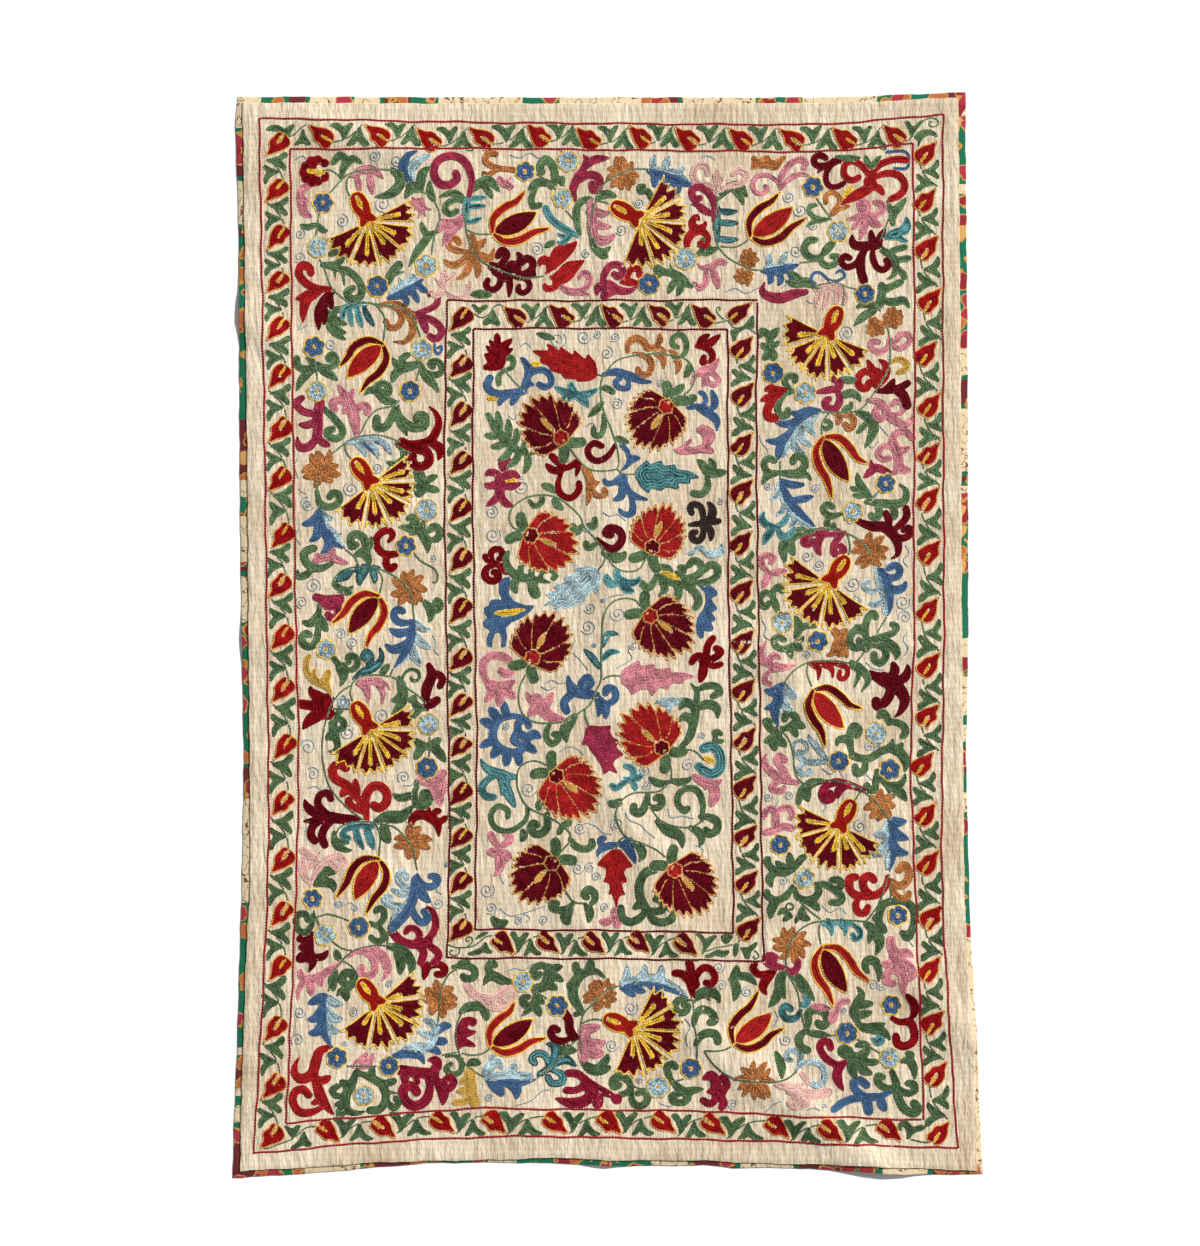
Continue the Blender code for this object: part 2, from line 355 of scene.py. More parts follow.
# %% Level lines
def level_lines(field, level, x, y):
    """The lines where the field passes the level, each as a row of points and whether it is closed."""
    above = field > level
    points, links = {}, {}
    # marching squares: which of a square's four corners lie above says which of its sides the line crosses
    code = (above[:-1, :-1] * 1 + above[:-1, 1:] * 2 + above[1:, 1:] * 4 + above[1:, :-1] * 8).astype(int)
    for i, j in zip(*np.nonzero((code > 0) & (code < 15))):
        low, right, high, left = (0, i, j), (1, i, j + 1), (0, i + 1, j), (1, i, j)
        pairs = {
            1: ((left, low),), 2: ((low, right),), 3: ((left, right),), 4: ((right, high),),
            5: ((left, high), (low, right)), 6: ((low, high),), 7: ((left, high),), 8: ((high, left),),
            9: ((high, low),), 10: ((high, right), (left, low)), 11: ((high, right),), 12: ((right, left),),
            13: ((right, low),), 14: ((low, left),),
        }[code[i, j]]
        for a, b in pairs:
            links.setdefault(a, []).append(b)
            links.setdefault(b, []).append(a)
    if not links:
        return []
    for key in links:
        side, i, j = key
        f0 = field[i, j]
        f1 = field[i, j + 1] if side == 0 else field[i + 1, j]
        t = (level - f0) / (f1 - f0)
        points[key] = (x[j] + t * CELL, y[i]) if side == 0 else (x[j], y[i] + t * CELL)
    found = []
    unused = set(links)
    ends = [k for k in links if len(links[k]) == 1]
    for start in ends + sorted(links):
        if start not in unused:
            continue
        line, here = [start], start
        unused.discard(start)
        while True:
            onward = [k for k in links[here] if k in unused]
            if not onward:
                break
            here = onward[0]
            unused.discard(here)
            line.append(here)
        closed = len(line) > 2 and line[0] in links[line[-1]]
        found.append((np.array([points[k] for k in line]), closed))
    return found


print("half way in, its level line has", len(level_lines(disc, 2.5, near, near)[0][0]), "points")

# %% Rows of links and the bed under them
def lay_row(colour, line, closed, width, part):
    """Lays links end to end along a line. A link whose middle lies on finished work is left out."""
    line = np.asarray(line, float)
    if closed:
        line = np.vstack([line, line[:1]])
    steps = np.hypot(*np.diff(line, axis=0).T)
    whole = steps.sum()
    if whole < 0.6 * LINK:
        return 0
    count = max(1, int(round(whole / LINK)))
    at = np.linspace(0, whole, count + 1)
    gone = np.concatenate([[0], np.cumsum(steps)])
    px, py = np.interp(at, gone, line[:, 0]), np.interp(at, gone, line[:, 1])
    x0, y0, dx, dy = px[:-1], py[:-1], np.diff(px), np.diff(py)
    i = np.clip(((y0 + dy / 2 - SOUTH) / CELL).round().astype(int), 0, taken.shape[0] - 1)
    j = np.clip(((x0 + dx / 2 - WEST) / CELL).round().astype(int), 0, taken.shape[1] - 1)
    keep = ~taken[i, j]
    x0, y0, dx, dy = x0[keep], y0[keep], dx[keep], dy[keep]
    if len(x0):
        threads.setdefault((colour, part), []).append(np.stack([x0, y0, dx, dy, np.full(len(x0), width)], 1))
    return len(x0)


def claim(field, at, level):
    """Marks the cells where the field is over the level as finished work."""
    taken[at] |= field > level


BED_CELLS, BED_ROWS = 12, 3  # how far a patch reaches along and across


def lay_bed(colour, part, free, x, y):
    """Patches of the same silk under the rows, where the back and forth of the hook fills the cloth. They are
    painted darker than the links, as painted shade in the gaps between them.
    """
    for i in range(1, len(y) - 1, BED_ROWS):
        row = free[i - 1] & free[i] & free[i + 1]
        ends = np.flatnonzero(np.diff(np.concatenate([[0], row.astype(int), [0]])))
        for start, end in zip(ends[::2], ends[1::2]):
            for first in range(start, end, BED_CELLS):
                last = min(first + BED_CELLS, end) - 1
                patch = (x[first] - CELL / 2, y[i - 1] - CELL / 2, x[last] + CELL / 2, y[i + 1] + CELL / 2)
                beds.setdefault((colour, part), []).append(patch)

# %% Filling a shape
EDGE_ROW = 1.8  # the width of an outline's row, in mm
EDGE_DEEP = 0.8  # how deep such a row reaches into its shape
ROOM = 4.0  # how far round a shape the grid is looked at


def fill(colour, strokes=None, ring=None, outline=None, part=""):
    """Fills a shape with rows from its edge inwards, and edges it with one row of the outline's silk."""
    if ring is None:
        whole = np.vstack([np.asarray(stroke, float).reshape(-1, 3) for stroke in strokes])
        pad = ROOM + whole[:, 2].max()
    else:
        whole = np.asarray(ring, float)
        pad = ROOM
    (low_x, low_y), (high_x, high_y) = whole[:, :2].min(0) - pad, whole[:, :2].max(0) + pad
    at, x, y = window(low_x, low_y, high_x, high_y)
    field = stroke_field(strokes, x, y) if ring is None else ring_field(whole, x, y)
    deepest = field.max()
    laid = 0
    edge_at = 0.0
    if outline:
        for line, closed in level_lines(field, 0.0, x, y):
            laid += lay_row(outline, line, closed, EDGE_ROW, part)
        edge_at = EDGE_DEEP
    level = edge_at + 0.5 * ROW
    while level <= deepest - 0.1:
        for line, closed in level_lines(field, level, x, y):
            laid += lay_row(colour, line, closed, ROW * 1.1, part)
        level += ROW
    # what is left along the middle takes half a turn of links
    left = deepest - (level - 0.5 * ROW)
    if left > 0.2 * ROW:
        for line, closed in level_lines(field, deepest - min(0.2, 0.5 * left), x, y):
            if len(line) > 4:
                laid += lay_row(colour, line[: len(line) // 2 + 1], False, ROW * 1.05, part)
    lay_bed(colour, part, (field > edge_at + 0.7) & ~taken[at], x, y)
    claim(field, at, -0.9 if outline else -0.1)
    return laid

# %% Smooth lines
def curve_through(points, step=1.2):
    """A smooth line (a Catmull-Rom spline) through these places."""
    p = np.asarray(points, float)
    if len(p) < 3:
        return p
    p = np.vstack([2 * p[0] - p[1], p, 2 * p[-1] - p[-2]])
    line = []
    for a, b, c, d in zip(p, p[1:], p[2:], p[3:]):
        n = max(2, int(np.hypot(*(c - b)) / step))
        t = np.linspace(0, 1, n, endpoint=False)[:, None]
        cubic = (3 * b - a - 3 * c + d) * t**3
        line.append(0.5 * (2 * b + (c - a) * t + (2 * a - 5 * b + 4 * c - d) * t**2 + cubic))
    return np.vstack(line + [p[-2:-1]])


print("three places give a line of", len(curve_through([(0, 0), (30, 20), (60, 0)])), "points")

# %% [markdown]
# ## Guard lines
#
# Four dark red lines frame the two bands of buds. Each is one broad row, worked freehand, so it wanders
# a little. The lines run through the places where the chart's corners and bends are.

# %% The four guard lines, in chart units
# From the outer line to the inner one, each as the top, the right side, the bottom and the left side.
GUARD_LINES = (
    ("guard_red", """
     259,118.4 470,122.2 600,123.5 760,124.4 827,123.8 899,118.4 943.2,113.9
     | 943.2,113.9 943.2,360 944.1,620 942,860 948,1000 957.8,1148.3
     | 957.8,1148.3 846,1144 760,1141 720,1140 600,1137.3 500,1136.5 367,1143 254,1153.6
     | 254,1153.6 267.9,875 266.8,620 263.4,360 259,118.4"""),
    ("guard_red", """
     290.2,149.3 470,148.4 600,149.9 760,151.2 827,151.2 913.2,143.4
     | 913.2,143.4 915,360 914.6,411 913.8,563 914.6,618 911,761 914.7,870 924.1,1119.9
     | 924.1,1119.9 760,1114.2 720,1111.5 655,1110.5 500,1108.3 470,1108.3 286.3,1123
     | 286.3,1123 296.4,880 298.6,743 295.9,620 292.3,360 290.2,149.3"""),
    ("guard_dark", """
     446.8,300.5 600,300.5 757.9,299.6 | 757.9,299.6 756.6,447 760.2,725 762,868 763.8,961
     | 763.8,961 610,958.6 447.3,957.9 | 447.3,957.9 449.5,832 447.7,689 444.6,483 446.8,300.5"""),
    ("guard_dark", """
     473.9,328.7 600,328.2 728,330 | 728,330 728,447 729,618 731.6,761 733.7,932.6
     | 733.7,932.6 600,930.4 475,929.2 | 475,929.5 477,761 475.4,654 472.7,483 473.9,328.7"""),
)
GUARD_WIDTH = 2.9


def places(text):
    """Chart places written as across,down pairs."""
    return [tuple(float(n) for n in pair.split(",")) for pair in text.split()]


def thread_line(colour, spots, width, part, seed=0.0, hold=True, wander=0.35):
    """One row along a line through chart places. It wavers a little, as a hand does."""
    line = curve_through([chart(*spot) for spot in spots])
    s = np.concatenate([[0], np.cumsum(np.hypot(*np.diff(line, axis=0).T))])
    way = np.gradient(line, axis=0)
    way /= np.hypot(way[:, 0], way[:, 1])[:, None] + 1e-9
    side = np.stack([-way[:, 1], way[:, 0]], 1)
    line = line + side * (wander * np.sin(s / 19.0 + seed) + 0.5 * wander * np.sin(s / 7.0 + 3 * seed))[:, None]
    laid = lay_row(colour, line, False, width, part)
    if hold:
        at, x, y = window(*(line.min(0) - 6), *(line.max(0) + 6))
        claim(stroke_field([np.column_stack([line, np.full(len(line), width / 2)])], x, y), at, 0.0)
    return laid


laid = 0
for k, (colour, frame_lines) in enumerate(GUARD_LINES):
    for m, text in enumerate(frame_lines.split("|")):
        laid += thread_line(colour, places(text), GUARD_WIDTH, "lines", seed=k + 2.1 * m, wander=0.7)
print("guard lines:", laid, "links")

# %% [markdown]
# ## Arms
#
# Many leaves and hooks here are one tapering stroke that leaves a root, bends and ends in a point or a
# round knob. Such a stroke is given by its heading, its length, how far it turns and its width. It
# could be drawn as an outline, but a row of discs along the stroke gives the same field with less work.

# %% Arms
def arm(across, down, heading, length, curl, width, kind):
    """One stroke in chart units, as places with a radius: p is a pointed leaf, r a round knob, s even."""
    n = max(7, int(length / 1.8))
    t = np.linspace(0, 1, n)
    turn = np.radians(heading + curl * (0.35 * t + 0.65 * t**2 if kind == "r" else t))
    step = length / (n - 1)
    x = across + np.concatenate([[0], np.cumsum(np.cos(turn[:-1]) * step)])
    y = down - np.concatenate([[0], np.cumsum(np.sin(turn[:-1]) * step)])
    if kind == "p":
        belly = 0.42 + 0.58 * np.sin(np.pi * np.clip(t * 0.95 + 0.12, 0, 1)) ** 0.8
        r = 0.5 * width * belly * np.clip((1 - t) / 0.35, 0.12, 1) ** 0.7
    elif kind == "r":
        r = 0.5 * width * (0.55 + 0.3 * t + 0.15 * smooth((t - 0.7) / 0.3))
    else:
        r = np.full(n, 0.5 * width)
    return np.stack([x, y, np.maximum(r, 0.35)], 1)


def on_cloth(stroke):
    """A chart stroke in mm on the cloth."""
    stroke = np.asarray(stroke, float).reshape(-1, 3)
    x, y = chart(stroke[:, 0], stroke[:, 1])
    return np.stack([x, y, stroke[:, 2] * UNIT], 1)


def ring_of(spots):
    """A closed outline of chart places, in mm on the cloth."""
    return np.array([chart(*p) for p in spots])


# %% [markdown]
# ## The bud borders
#
# One bud, a stem and two pairs of leaves repeat about fifty times round each band, always turned so
# that the band's length runs the same way round. The unit is charted once, along and into the band,
# and laid at each bud's place, with small changes of size, because each was drawn by hand.

# %% One unit of the border
def soften(spots):
    """Rounds the corners of a closed outline by cutting them off twice."""
    spots = np.asarray(spots, float)
    for _ in range(2):
        onward = np.roll(spots, -1, 0)
        spots = np.stack([0.8 * spots + 0.2 * onward, 0.2 * spots + 0.8 * onward], 1).reshape(-1, 2)
    return spots


# Along the band and into it, from the bud's tail, in chart units. Each bud lies between the two forms.
LOBED_BUD = """
0,-0.6 8,3.2 12,3.8 15,4.3 20,5.8 24,8.5 26.8,12.8 25.8,16.8 24,19.4 22.2,22.4 19,23.4 15.6,21 13.4,17
9.6,16.4 7.6,13.2 7.8,9.8 4.6,5.9
"""
SMOOTH_BUD = """
0,-0.8 6,2.2 9.5,4.4 14.5,3 18,6.5 19.6,9.6 25.6,12.6 24.8,16.8 22.6,19.6 19.4,22 14.5,23 10.2,21.4 7.8,17.6
6.2,14 4.9,11 3.6,7.5 1.6,4
"""
OUTSIDE_LEAVES = """
35.5,16.4 33.3,9.6 29.5,4.7 22,1.2 22.4,-0.6 29,-2 33,-0.4 35.6,2.8 38,1.4 41,-2 46.5,-2 44.8,1.6 41.6,6.6
39,12.5 37.2,16.4
"""
INSIDE_LEAVES = """
51.5,0.8 48.8,4.6 43,14.4 38.2,19.8 38.8,21.8 44,21.8 48.2,18.5 50.8,15.8 52,18.6 54,22.6 58,23 62.6,22.4
60.2,17.4 56,13.4 53.6,6.6 52.8,0.8
"""
STEM_WIDTH = 2.0
BUD_PITCH, UNIT_PITCH = 51, 54.5  # the pitch at which the bud and the leaves above keep their charted size


def bud_unit(colour, tail, along_way, into_way, pitch, part, lively):
    """One bud, and the stem and leaves that lead to the next. Both ways are unit steps on the chart."""
    rnd = random.Random(int(tail[0] * 7 + tail[1] * 13))
    squeeze = min(1.0, (pitch or 48) / BUD_PITCH)

    def laid_out(spots, stretch, loose):
        """The unit's places on the chart, each a little off where it should be."""
        def on_axis(k, u, v):
            """Across for k = 0 and down for k = 1."""
            along, into = u * stretch + rnd.uniform(-loose, loose), v + rnd.uniform(-loose, loose)
            return tail[k] + along_way[k] * along + into_way[k] * into

        return [(on_axis(0, u, v), on_axis(1, u, v)) for u, v in spots]

    drop = curve_through(laid_out(((15.2, 11.6), (19.6, 14.4), (24.6, 17.8)), squeeze, 0.4), 1.4)
    radius = np.interp(np.linspace(0, 1, len(drop)), [0, 0.45, 1], [1.3, 1.75, 0.9])
    drop = on_cloth(np.column_stack([drop, radius]))
    fill("gold", [drop], outline="amber" if rnd.random() < 0.4 else None, part=part)
    share = rnd.random()
    bud = (1 - share) * np.array(places(LOBED_BUD)) + share * np.array(places(SMOOTH_BUD))
    # the bud leans, and the rows round its edge eat into its width, so it is drawn fuller across its axis
    axis = np.array([[0.75, 0.66], [-0.66, 0.75]])
    bud = (bud @ axis.T * (1.03, 1.22)) @ axis
    fill(colour, ring=ring_of(soften(laid_out(bud, squeeze, 0.35))), outline="amber", part=part)
    if pitch:
        k = pitch / UNIT_PITCH
        for leaves in (OUTSIDE_LEAVES, INSIDE_LEAVES):
            fill("leaf_green", ring=ring_of(soften(laid_out(places(leaves), k, 0.5))), part=part)
        stem = laid_out([(25.4 * squeeze / k, 18), (32.5, 16.8), (41, 13.4), (47.5, 7.4), (54.5, 0.4)], k, 0.3)
        thread_line("stem", stem, STEM_WIDTH, part, seed=lively)

# %% A whole border
# Along and into the band on its four sides, clockwise from the left one.
SIDE_WAYS = (((0, -1), (1, 0)), ((1, 0), (0, 1)), ((0, 1), (-1, 0)), ((-1, 0), (0, -1)))


def bud_border(colour, tails, part):
    """Lays a unit at every bud's tail. tails are the places on each of the four sides."""
    for side, (along_way, into_way) in zip(tails, SIDE_WAYS):
        side = places(side)
        for n, tail in enumerate(side):
            pitch = math.dist(tail, side[n + 1]) if n + 1 < len(side) else None
            bud_unit(colour, tail, along_way, into_way, pitch, part, n * 1.7)
    return sum(len(places(side)) for side in tails)


def corner(part, leaves, stems):
    """The leaves (closed outlines) and stems that turn a band's corner, each drawn for its own place."""
    for text in leaves.split("|"):
        fill("leaf_green", ring=ring_of(soften(places(text))), part=part)
    for n, text in enumerate(stems.split("|")):
        thread_line("stem", places(text), STEM_WIDTH, part, seed=n)


# %% The inner border
INNER_TAILS = (
    """
    449,942 449,896 449,850 449,807 449,759 449,718 449,672 449,625 449,574 449,523 449,476 449,429
    449,378 449.5,332
    """,
    """
    501,305 548,304 600,304 646,303 691,304
    """,
    """
    754,335 755,381 754,430 754,478 753,529 754,578 755,628 756,677 757,725 757,774 758,824 759,869
    761,916
    """,
    """
    699,956 651,954 607,955 561,954 516,955
    """,
)
print("inner border:", bud_border("maroon", INNER_TAILS, "inner_border"), "buds")
fill("gold", [on_cloth(((737, 313.4, 1.6), (733, 316.5, 1.7), (730.4, 319.3, 0.9)))], part="inner_border")
CORNER_BUD = """
754,301.6 748,303 742,305 736,306 731,308.6 727.6,312 726.6,316 728.4,318.8 731.4,320.6 732.4,323.4 735,325
738.4,323.6 739.8,320.2 744,318.6 747.4,315.4 747.2,310.6 750,306.6
"""
fill("maroon", ring=ring_of(soften(places(CORNER_BUD))), outline="amber", part="inner_border")
corner("inner_border", leaves="""
479.5,315 475.5,310.5 470.5,304 472,302.8 476,304.3 479,308 483,304.8 488,303.5 489.5,305.5 486,309.5
  482,311.5 480.5,315
| 493,308 490.5,313 487,317.5 483,320 482.5,324 486,326 489.5,324.5 491.5,322.5 495,325.5 499,326.5
  501.5,324.5 498.5,319 496,314 494.5,309
""", stems="""
467,309 471,311.3 476,315 481,317.7 486,316.5 491,312 494,307 498,304.6 502,305
""")
corner("inner_border", leaves="""
743,326 748,321 753,312.6 754.6,319 754.8,329.8 749,328.4 743,330 739.5,332.5 736.5,337 735.4,342.4
  732.6,342.4 732,336.5 729.4,329.4 736,328.8
""", stems="""
712,323.5 719,322.8 727,320.5 729,321.5 732,326 735,328 742,327.5 748,328 753,331 756,333.5
| 727,320.5 722,317.5 718,313 716.3,309.5 717.5,307 720,307.3 720.5,309.5 718.5,310.5
""")
corner("inner_border", leaves="""
700.3,957.5 702,951 703.4,946 702,940.5 699,936.8 694.6,934 697,932.2 701,933 703.6,936 705.6,939
  709,936.4 714,934.4 718.8,934.2 716.6,937.5 711.6,943 706.6,949 702.6,955
| 720.4,935 724,933.8 730,933.8 734.6,935.4 731,940.5 727,945 724,943.5 721.4,940
| 702.8,954.2 709,953.8 714,950.5 719,949 724,950.5 730.4,949.2 729.2,954 724,957.6 719,957 716,954.4
  712,957.6 707,957.8
| 734,943.2 738,942.4 740,945 738,949.5 738.6,953 736,957.6 733.4,956 733,949
| 739,945.6 744,947.5 749,946.4 754,943 758.8,940 757.2,945.5 754,949.6 751,952 750,956 751,959.4
  745,958.8 744,955 742,951
""", stems="""
741.5,937.5 739,941.5 733,944 725,946 716,947.5 708,950 702,951.5
| 752,949 756,951.5 759,955.5 757,958.7 753.5,957.5 754,955.5
""")
corner("inner_border", leaves="""
474.6,939 478,935 482,932 488,931.2 489.8,933 486,935.2 480,937.8 476.4,939.8
| 486,940 483.5,944 480,947.5 474,950.5 466.6,952.4 468,955 473,955.8 480,954.5 484,951.6 487,953.5
  491,954 493.7,952.5 492.5,950.5 489,948.5 487.7,944
""", stems="""
495,935.5 489,935.5 484,937.5 479,942 474,945.5 467,947 459,947.3 453,946.5 448,944.5
| 467,947 472,943 473,939 470,936.3 466.5,937.5 465.5,940.5 468,942 470,940
| 459,947.5 459.5,951.5 457,955 452,955 449.5,952 451,949.8 453.5,950.5
""")

# %% The outer border
OUTER_TAILS = (
    """
    260,1149 262,1099 263.6,1043 268,983 270,929 271,874 270.6,818 273,761 271,704 271,651 268,599
    271,549 268,492 268.4,443 267.8,390 266.4,341.6 266,294 266.6,251 265,202.6 266,157
    """,
    """
    307,124.5 363,123.5 415,128 467,126 526,123.5 575,127 627.5,125 673.5,126.7 727,127.5 777,127.5
    831,127 881,124
    """,
    """
    938,140 937,186.4 939,234 942,286.4 938,339.6 941.6,390.6 940.6,440.6 940,485 941.6,538.6
    939.8,595 940.6,650.6 940,703.6 934.6,750.6 937.6,800 940,848 943.4,904 941.4,955 944.4,1009
    948,1060 950.8,1119
    """,
    """
    903,1142 844,1141.7 790.8,1138.8 727.5,1136 678,1134 622.5,1134.3 569.7,1134.3 507,1134
    456.7,1134 397.5,1139 340.8,1143
    """,
)
print("outer border:", bud_border("bud_red", OUTER_TAILS, "outer_border"), "buds")
corner("outer_border", leaves="""
287.5,138 284,134.5 279,131.8 273,131.2 265.2,130.6 266,128 270,125.2 276,124.2 281,125.8 285.4,129.4
  287.2,127 290,124.4 295.6,124 296,126 292,131 290,137
| 303,127.2 300.3,135 298,140 293.4,144 294.5,145.8 300,144.8 303,142.3 305,144.8 308,145.8 312.2,145
  310,141 306,136 304.8,129.8
""", stems="""
284,137.6 289,136.8 295,134.5 301,128.5 307,124.8
""")
corner("outer_border", leaves="""
912,139.5 909.5,131 903.6,120.4 909,120 913.2,127.6 918,121.6 924.6,118.6 925.2,120.6 920,126 915.5,131.5
  912.8,138
| 914,136 918.5,131 925,128.8 932,129.6 937,133 939.4,139.5 936,136.4 931,134.6 926,136 921.8,139.8
  919.6,144.5 918.6,150 917.4,144 918.8,139.8 914.6,139.8
""", stems="""
900,142 905,141.8 910,139.5 913,134 915,129 920,123.4 925,119.8 931,118 936,118.6 939,121.5 938.6,125
  934.4,127 930,126 928.6,123.2 930.2,121.2 933,121.8
""")
corner("outer_border", leaves="""
906,1139.4 907,1133 905,1127.6 903,1125.6 901.6,1127 902.6,1131 899.4,1131.4 897.4,1127 898,1122.5
  902,1120 907.5,1120.4 911,1124 913,1127 916,1125.4 921,1123.8 927,1126.4 923,1130.6 917,1131.6 912,1135
  909.5,1139.8
""", stems="""
932,1141 927,1142 920,1141 913,1139.5 908,1138
""")
corner("outer_border", leaves="""
293,1139.5 289.4,1134 283.6,1125.8 285.4,1124.4 289,1126 291.6,1129 295.6,1125.8 299.4,1123.8 300.8,1126
  299,1131 295.6,1136.2
| 304,1128.6 300,1138 296,1143 289.2,1147.5 291,1149.5 298,1148.4 303,1145 307,1147 311,1147 313.2,1145
  308.6,1139.4 305.6,1133
""", stems="""
318,1126.5 310,1126.3 304,1128.5 299,1133.5 292,1139 280,1143.5 270,1148 261,1149.5
""")

# %% [markdown]
# ## Rosettes
#
# The small round flowers are two rings of petals in blue or pale blue silk about an ochre eye, with a
# yellow edge. Overlapping discs give the scalloped outline, and the rows then follow it inwards.

# %% Blue and pale rosettes
BLUE_ROSETTES = """
323,203 377.4,286.4 525,171.4 649,284 813,187 865,294 314,347 410,391 406,545.7 427,768 312.4,898.6
358.6,927 337,1057.6 389,1066 557.4,1005.7 691,1068.3 898,915.4 847,1033 891.4,1005 838.6,761 889.7,769.7
780.3,844.7 817.6,641 773.3,373 885.7,483.6
"""
PALE_ROSETTES = """
317.7,247 426,265.7 568,161.4 562.4,198 685.7,258.6 838,231.4 317,391 421.7,349.6 426.7,510 326.4,649.3
428.6,724.3 325.3,935 364,1095.4 523,982 658,1087 804.6,878 889.7,1058 805.3,393 876.4,733 852.6,511.7
782.6,622
"""

# %% One rosette
def rosette(colour, across, down, size, petals, turned, edge="yellow"):
    """An eye and a ring of petals. The size is the flower's radius in chart units."""
    fill("ochre_eye", [on_cloth((across, down, 0.2 * size))], part="field")
    a = np.radians(turned) + 2 * np.pi * np.arange(petals) / petals
    ring = [(across + 0.6 * size * c, down + 0.6 * size * d, 0.4 * size) for c, d in zip(np.cos(a), np.sin(a))]
    discs = [on_cloth(disc) for disc in ring + [(across, down, 0.6 * size)]]
    fill(colour, discs, outline=edge, part="field")


# the size, the number of petals and their turn change a little from flower to flower
for n, (across, down) in enumerate(places(BLUE_ROSETTES)):
    rosette("blue", across, down, 10.9 + 0.5 * math.sin(n * 2.3), 6 + n % 2, 17 * n)
for n, (across, down) in enumerate(places(PALE_ROSETTES)):
    rosette("pale_blue", across, down, 11.1 + 0.5 * math.sin(n * 1.9), 7 - n % 2, 23 * n)
rosette("pale_blue", 343, 702, 6.0, 6, 0, edge=None)
print("rosettes:", len(places(BLUE_ROSETTES)) + len(places(PALE_ROSETTES)) + 1)

# %% [markdown]
# ## Carnations
#
# A carnation seen from the side is a red cup with a fan of five dark petals. Each petal is a wedge with
# a toothed edge, edged in yellow, and yellow strokes run out from the neck over it. The wedges are
# closed rings of points on the chart; strokes and cup are worked first, so the petals stop at them.

# %% Nine carnations
CARNATIONS = (
    # head, neck, reach, half spread in degrees, lean of the fan from the cup's axis
    ((358, 200), (368, 221), 47, 84, 0),
    ((618, 208), (640, 220), 49, 80, 2),
    ((358, 465), (371, 483), 46, 82, 0),
    ((358, 709), (370, 729), 46, 84, 0),
    ((364, 986), (377, 1003), 48, 84, 0),
    ((611, 1020), (633, 1029), 49, 82, -4),
    ((836, 314), (827, 334), 46, 84, 0),
    ((843, 563), (829, 583), 47, 84, 0),
    ((849, 807), (840, 825), 47, 84, 0),
)
TEETH = 3  # of a carnation's or a palmette's petal

# %% One carnation
def carnation(head, neck, reach, spread, lean, number):
    """A cup round the head, and petals that fan out past the neck. Angles are in degrees from the axis."""
    rnd = random.Random(number)
    ax, ay = neck[0] - head[0], neck[1] - head[1]
    long = math.hypot(ax, ay)
    heading = math.degrees(math.atan2(-ay, ax))
    ux, uy = ax / long, ay / long

    def along_axis(steps):
        """A stroke on the axis, from steps away from the head, each with its radius."""
        return [(head[0] + ux * s, head[1] + uy * s, r) for s, r in steps]

    def polar(r, a):
        """The place at a distance from the neck and at an angle in the fan."""
        a = math.radians(heading + lean + a * spread / 84)
        return neck[0] + r * math.cos(a), neck[1] - r * math.sin(a)

    # the yellow oval in the cup, then the cup with its two flaps
    fill("yellow", [on_cloth(along_axis(((-3, 1.8), (0, 2.5), (3, 2.8), (6, 2.5), (9, 1.5))))], part="field")
    cup = along_axis(((-1, 7.6), (3, 8.8), (7, 9.0), (11, 8.2), (15, 6.6), (19, 4.8), (22, 2.8)))
    shoulder = head[0] + ux * 12, head[1] + uy * 12
    flaps = [arm(*shoulder, heading + side * 10, 19, side * 58, 9, "p") for side in (1, -1)]
    fill("cup_red", [on_cloth(stroke) for stroke in [cup] + flaps], outline="yellow", part="field")

    for a in (74, 42, 8, -28, -66):
        a += rnd.uniform(-4, 4)
        length, curl = rnd.uniform(20, 31), rnd.uniform(-8, 8)
        stroke = arm(*polar(3, a), heading + lean + a * spread / 84, length, curl, 5.2, "r")
        fill("yellow", [on_cloth(stroke)], part="field")
    # each petal from its root up one side, round its teeth and down the other
    for high, low in ((92, 62), (57, 27), (22, -9), (-14, -46), (-51, -90)):
        high, low = high + rnd.uniform(-2, 2), low + rnd.uniform(-2, 2)
        middle, half = (high + low) / 2, (high - low) / 2
        ring = [polar(6, middle)]
        for share in (0.2, 0.6):
            ring.append(polar(6 + (reach - 6) * share, middle + half * (0.8 + 0.2 * share)))
        for k in range(TEETH):
            ring.append(polar(reach * rnd.uniform(0.96, 1.06), high - (high - low) * k / TEETH))
            ring.append(polar(reach * rnd.uniform(0.78, 0.88), high - (high - low) * (k + 0.55) / TEETH))
        ring.append(polar(reach * rnd.uniform(0.98, 1.03), low))
        for share in (0.6, 0.2):
            ring.append(polar(6 + (reach - 6) * share, middle - half * (0.8 + 0.2 * share)))
        fill("maroon", ring=ring_of(ring), outline="yellow", part="field")


for number, row in enumerate(CARNATIONS):
    carnation(*row, number)
print("carnations:", len(CARNATIONS))

# %% [markdown]
# ## Tulips
#
# Each tulip is a pointed bud between two long outer petals that bend like an S. Red and maroon change
# places from one to the next, and everything has a yellow edge with bare cloth left between.

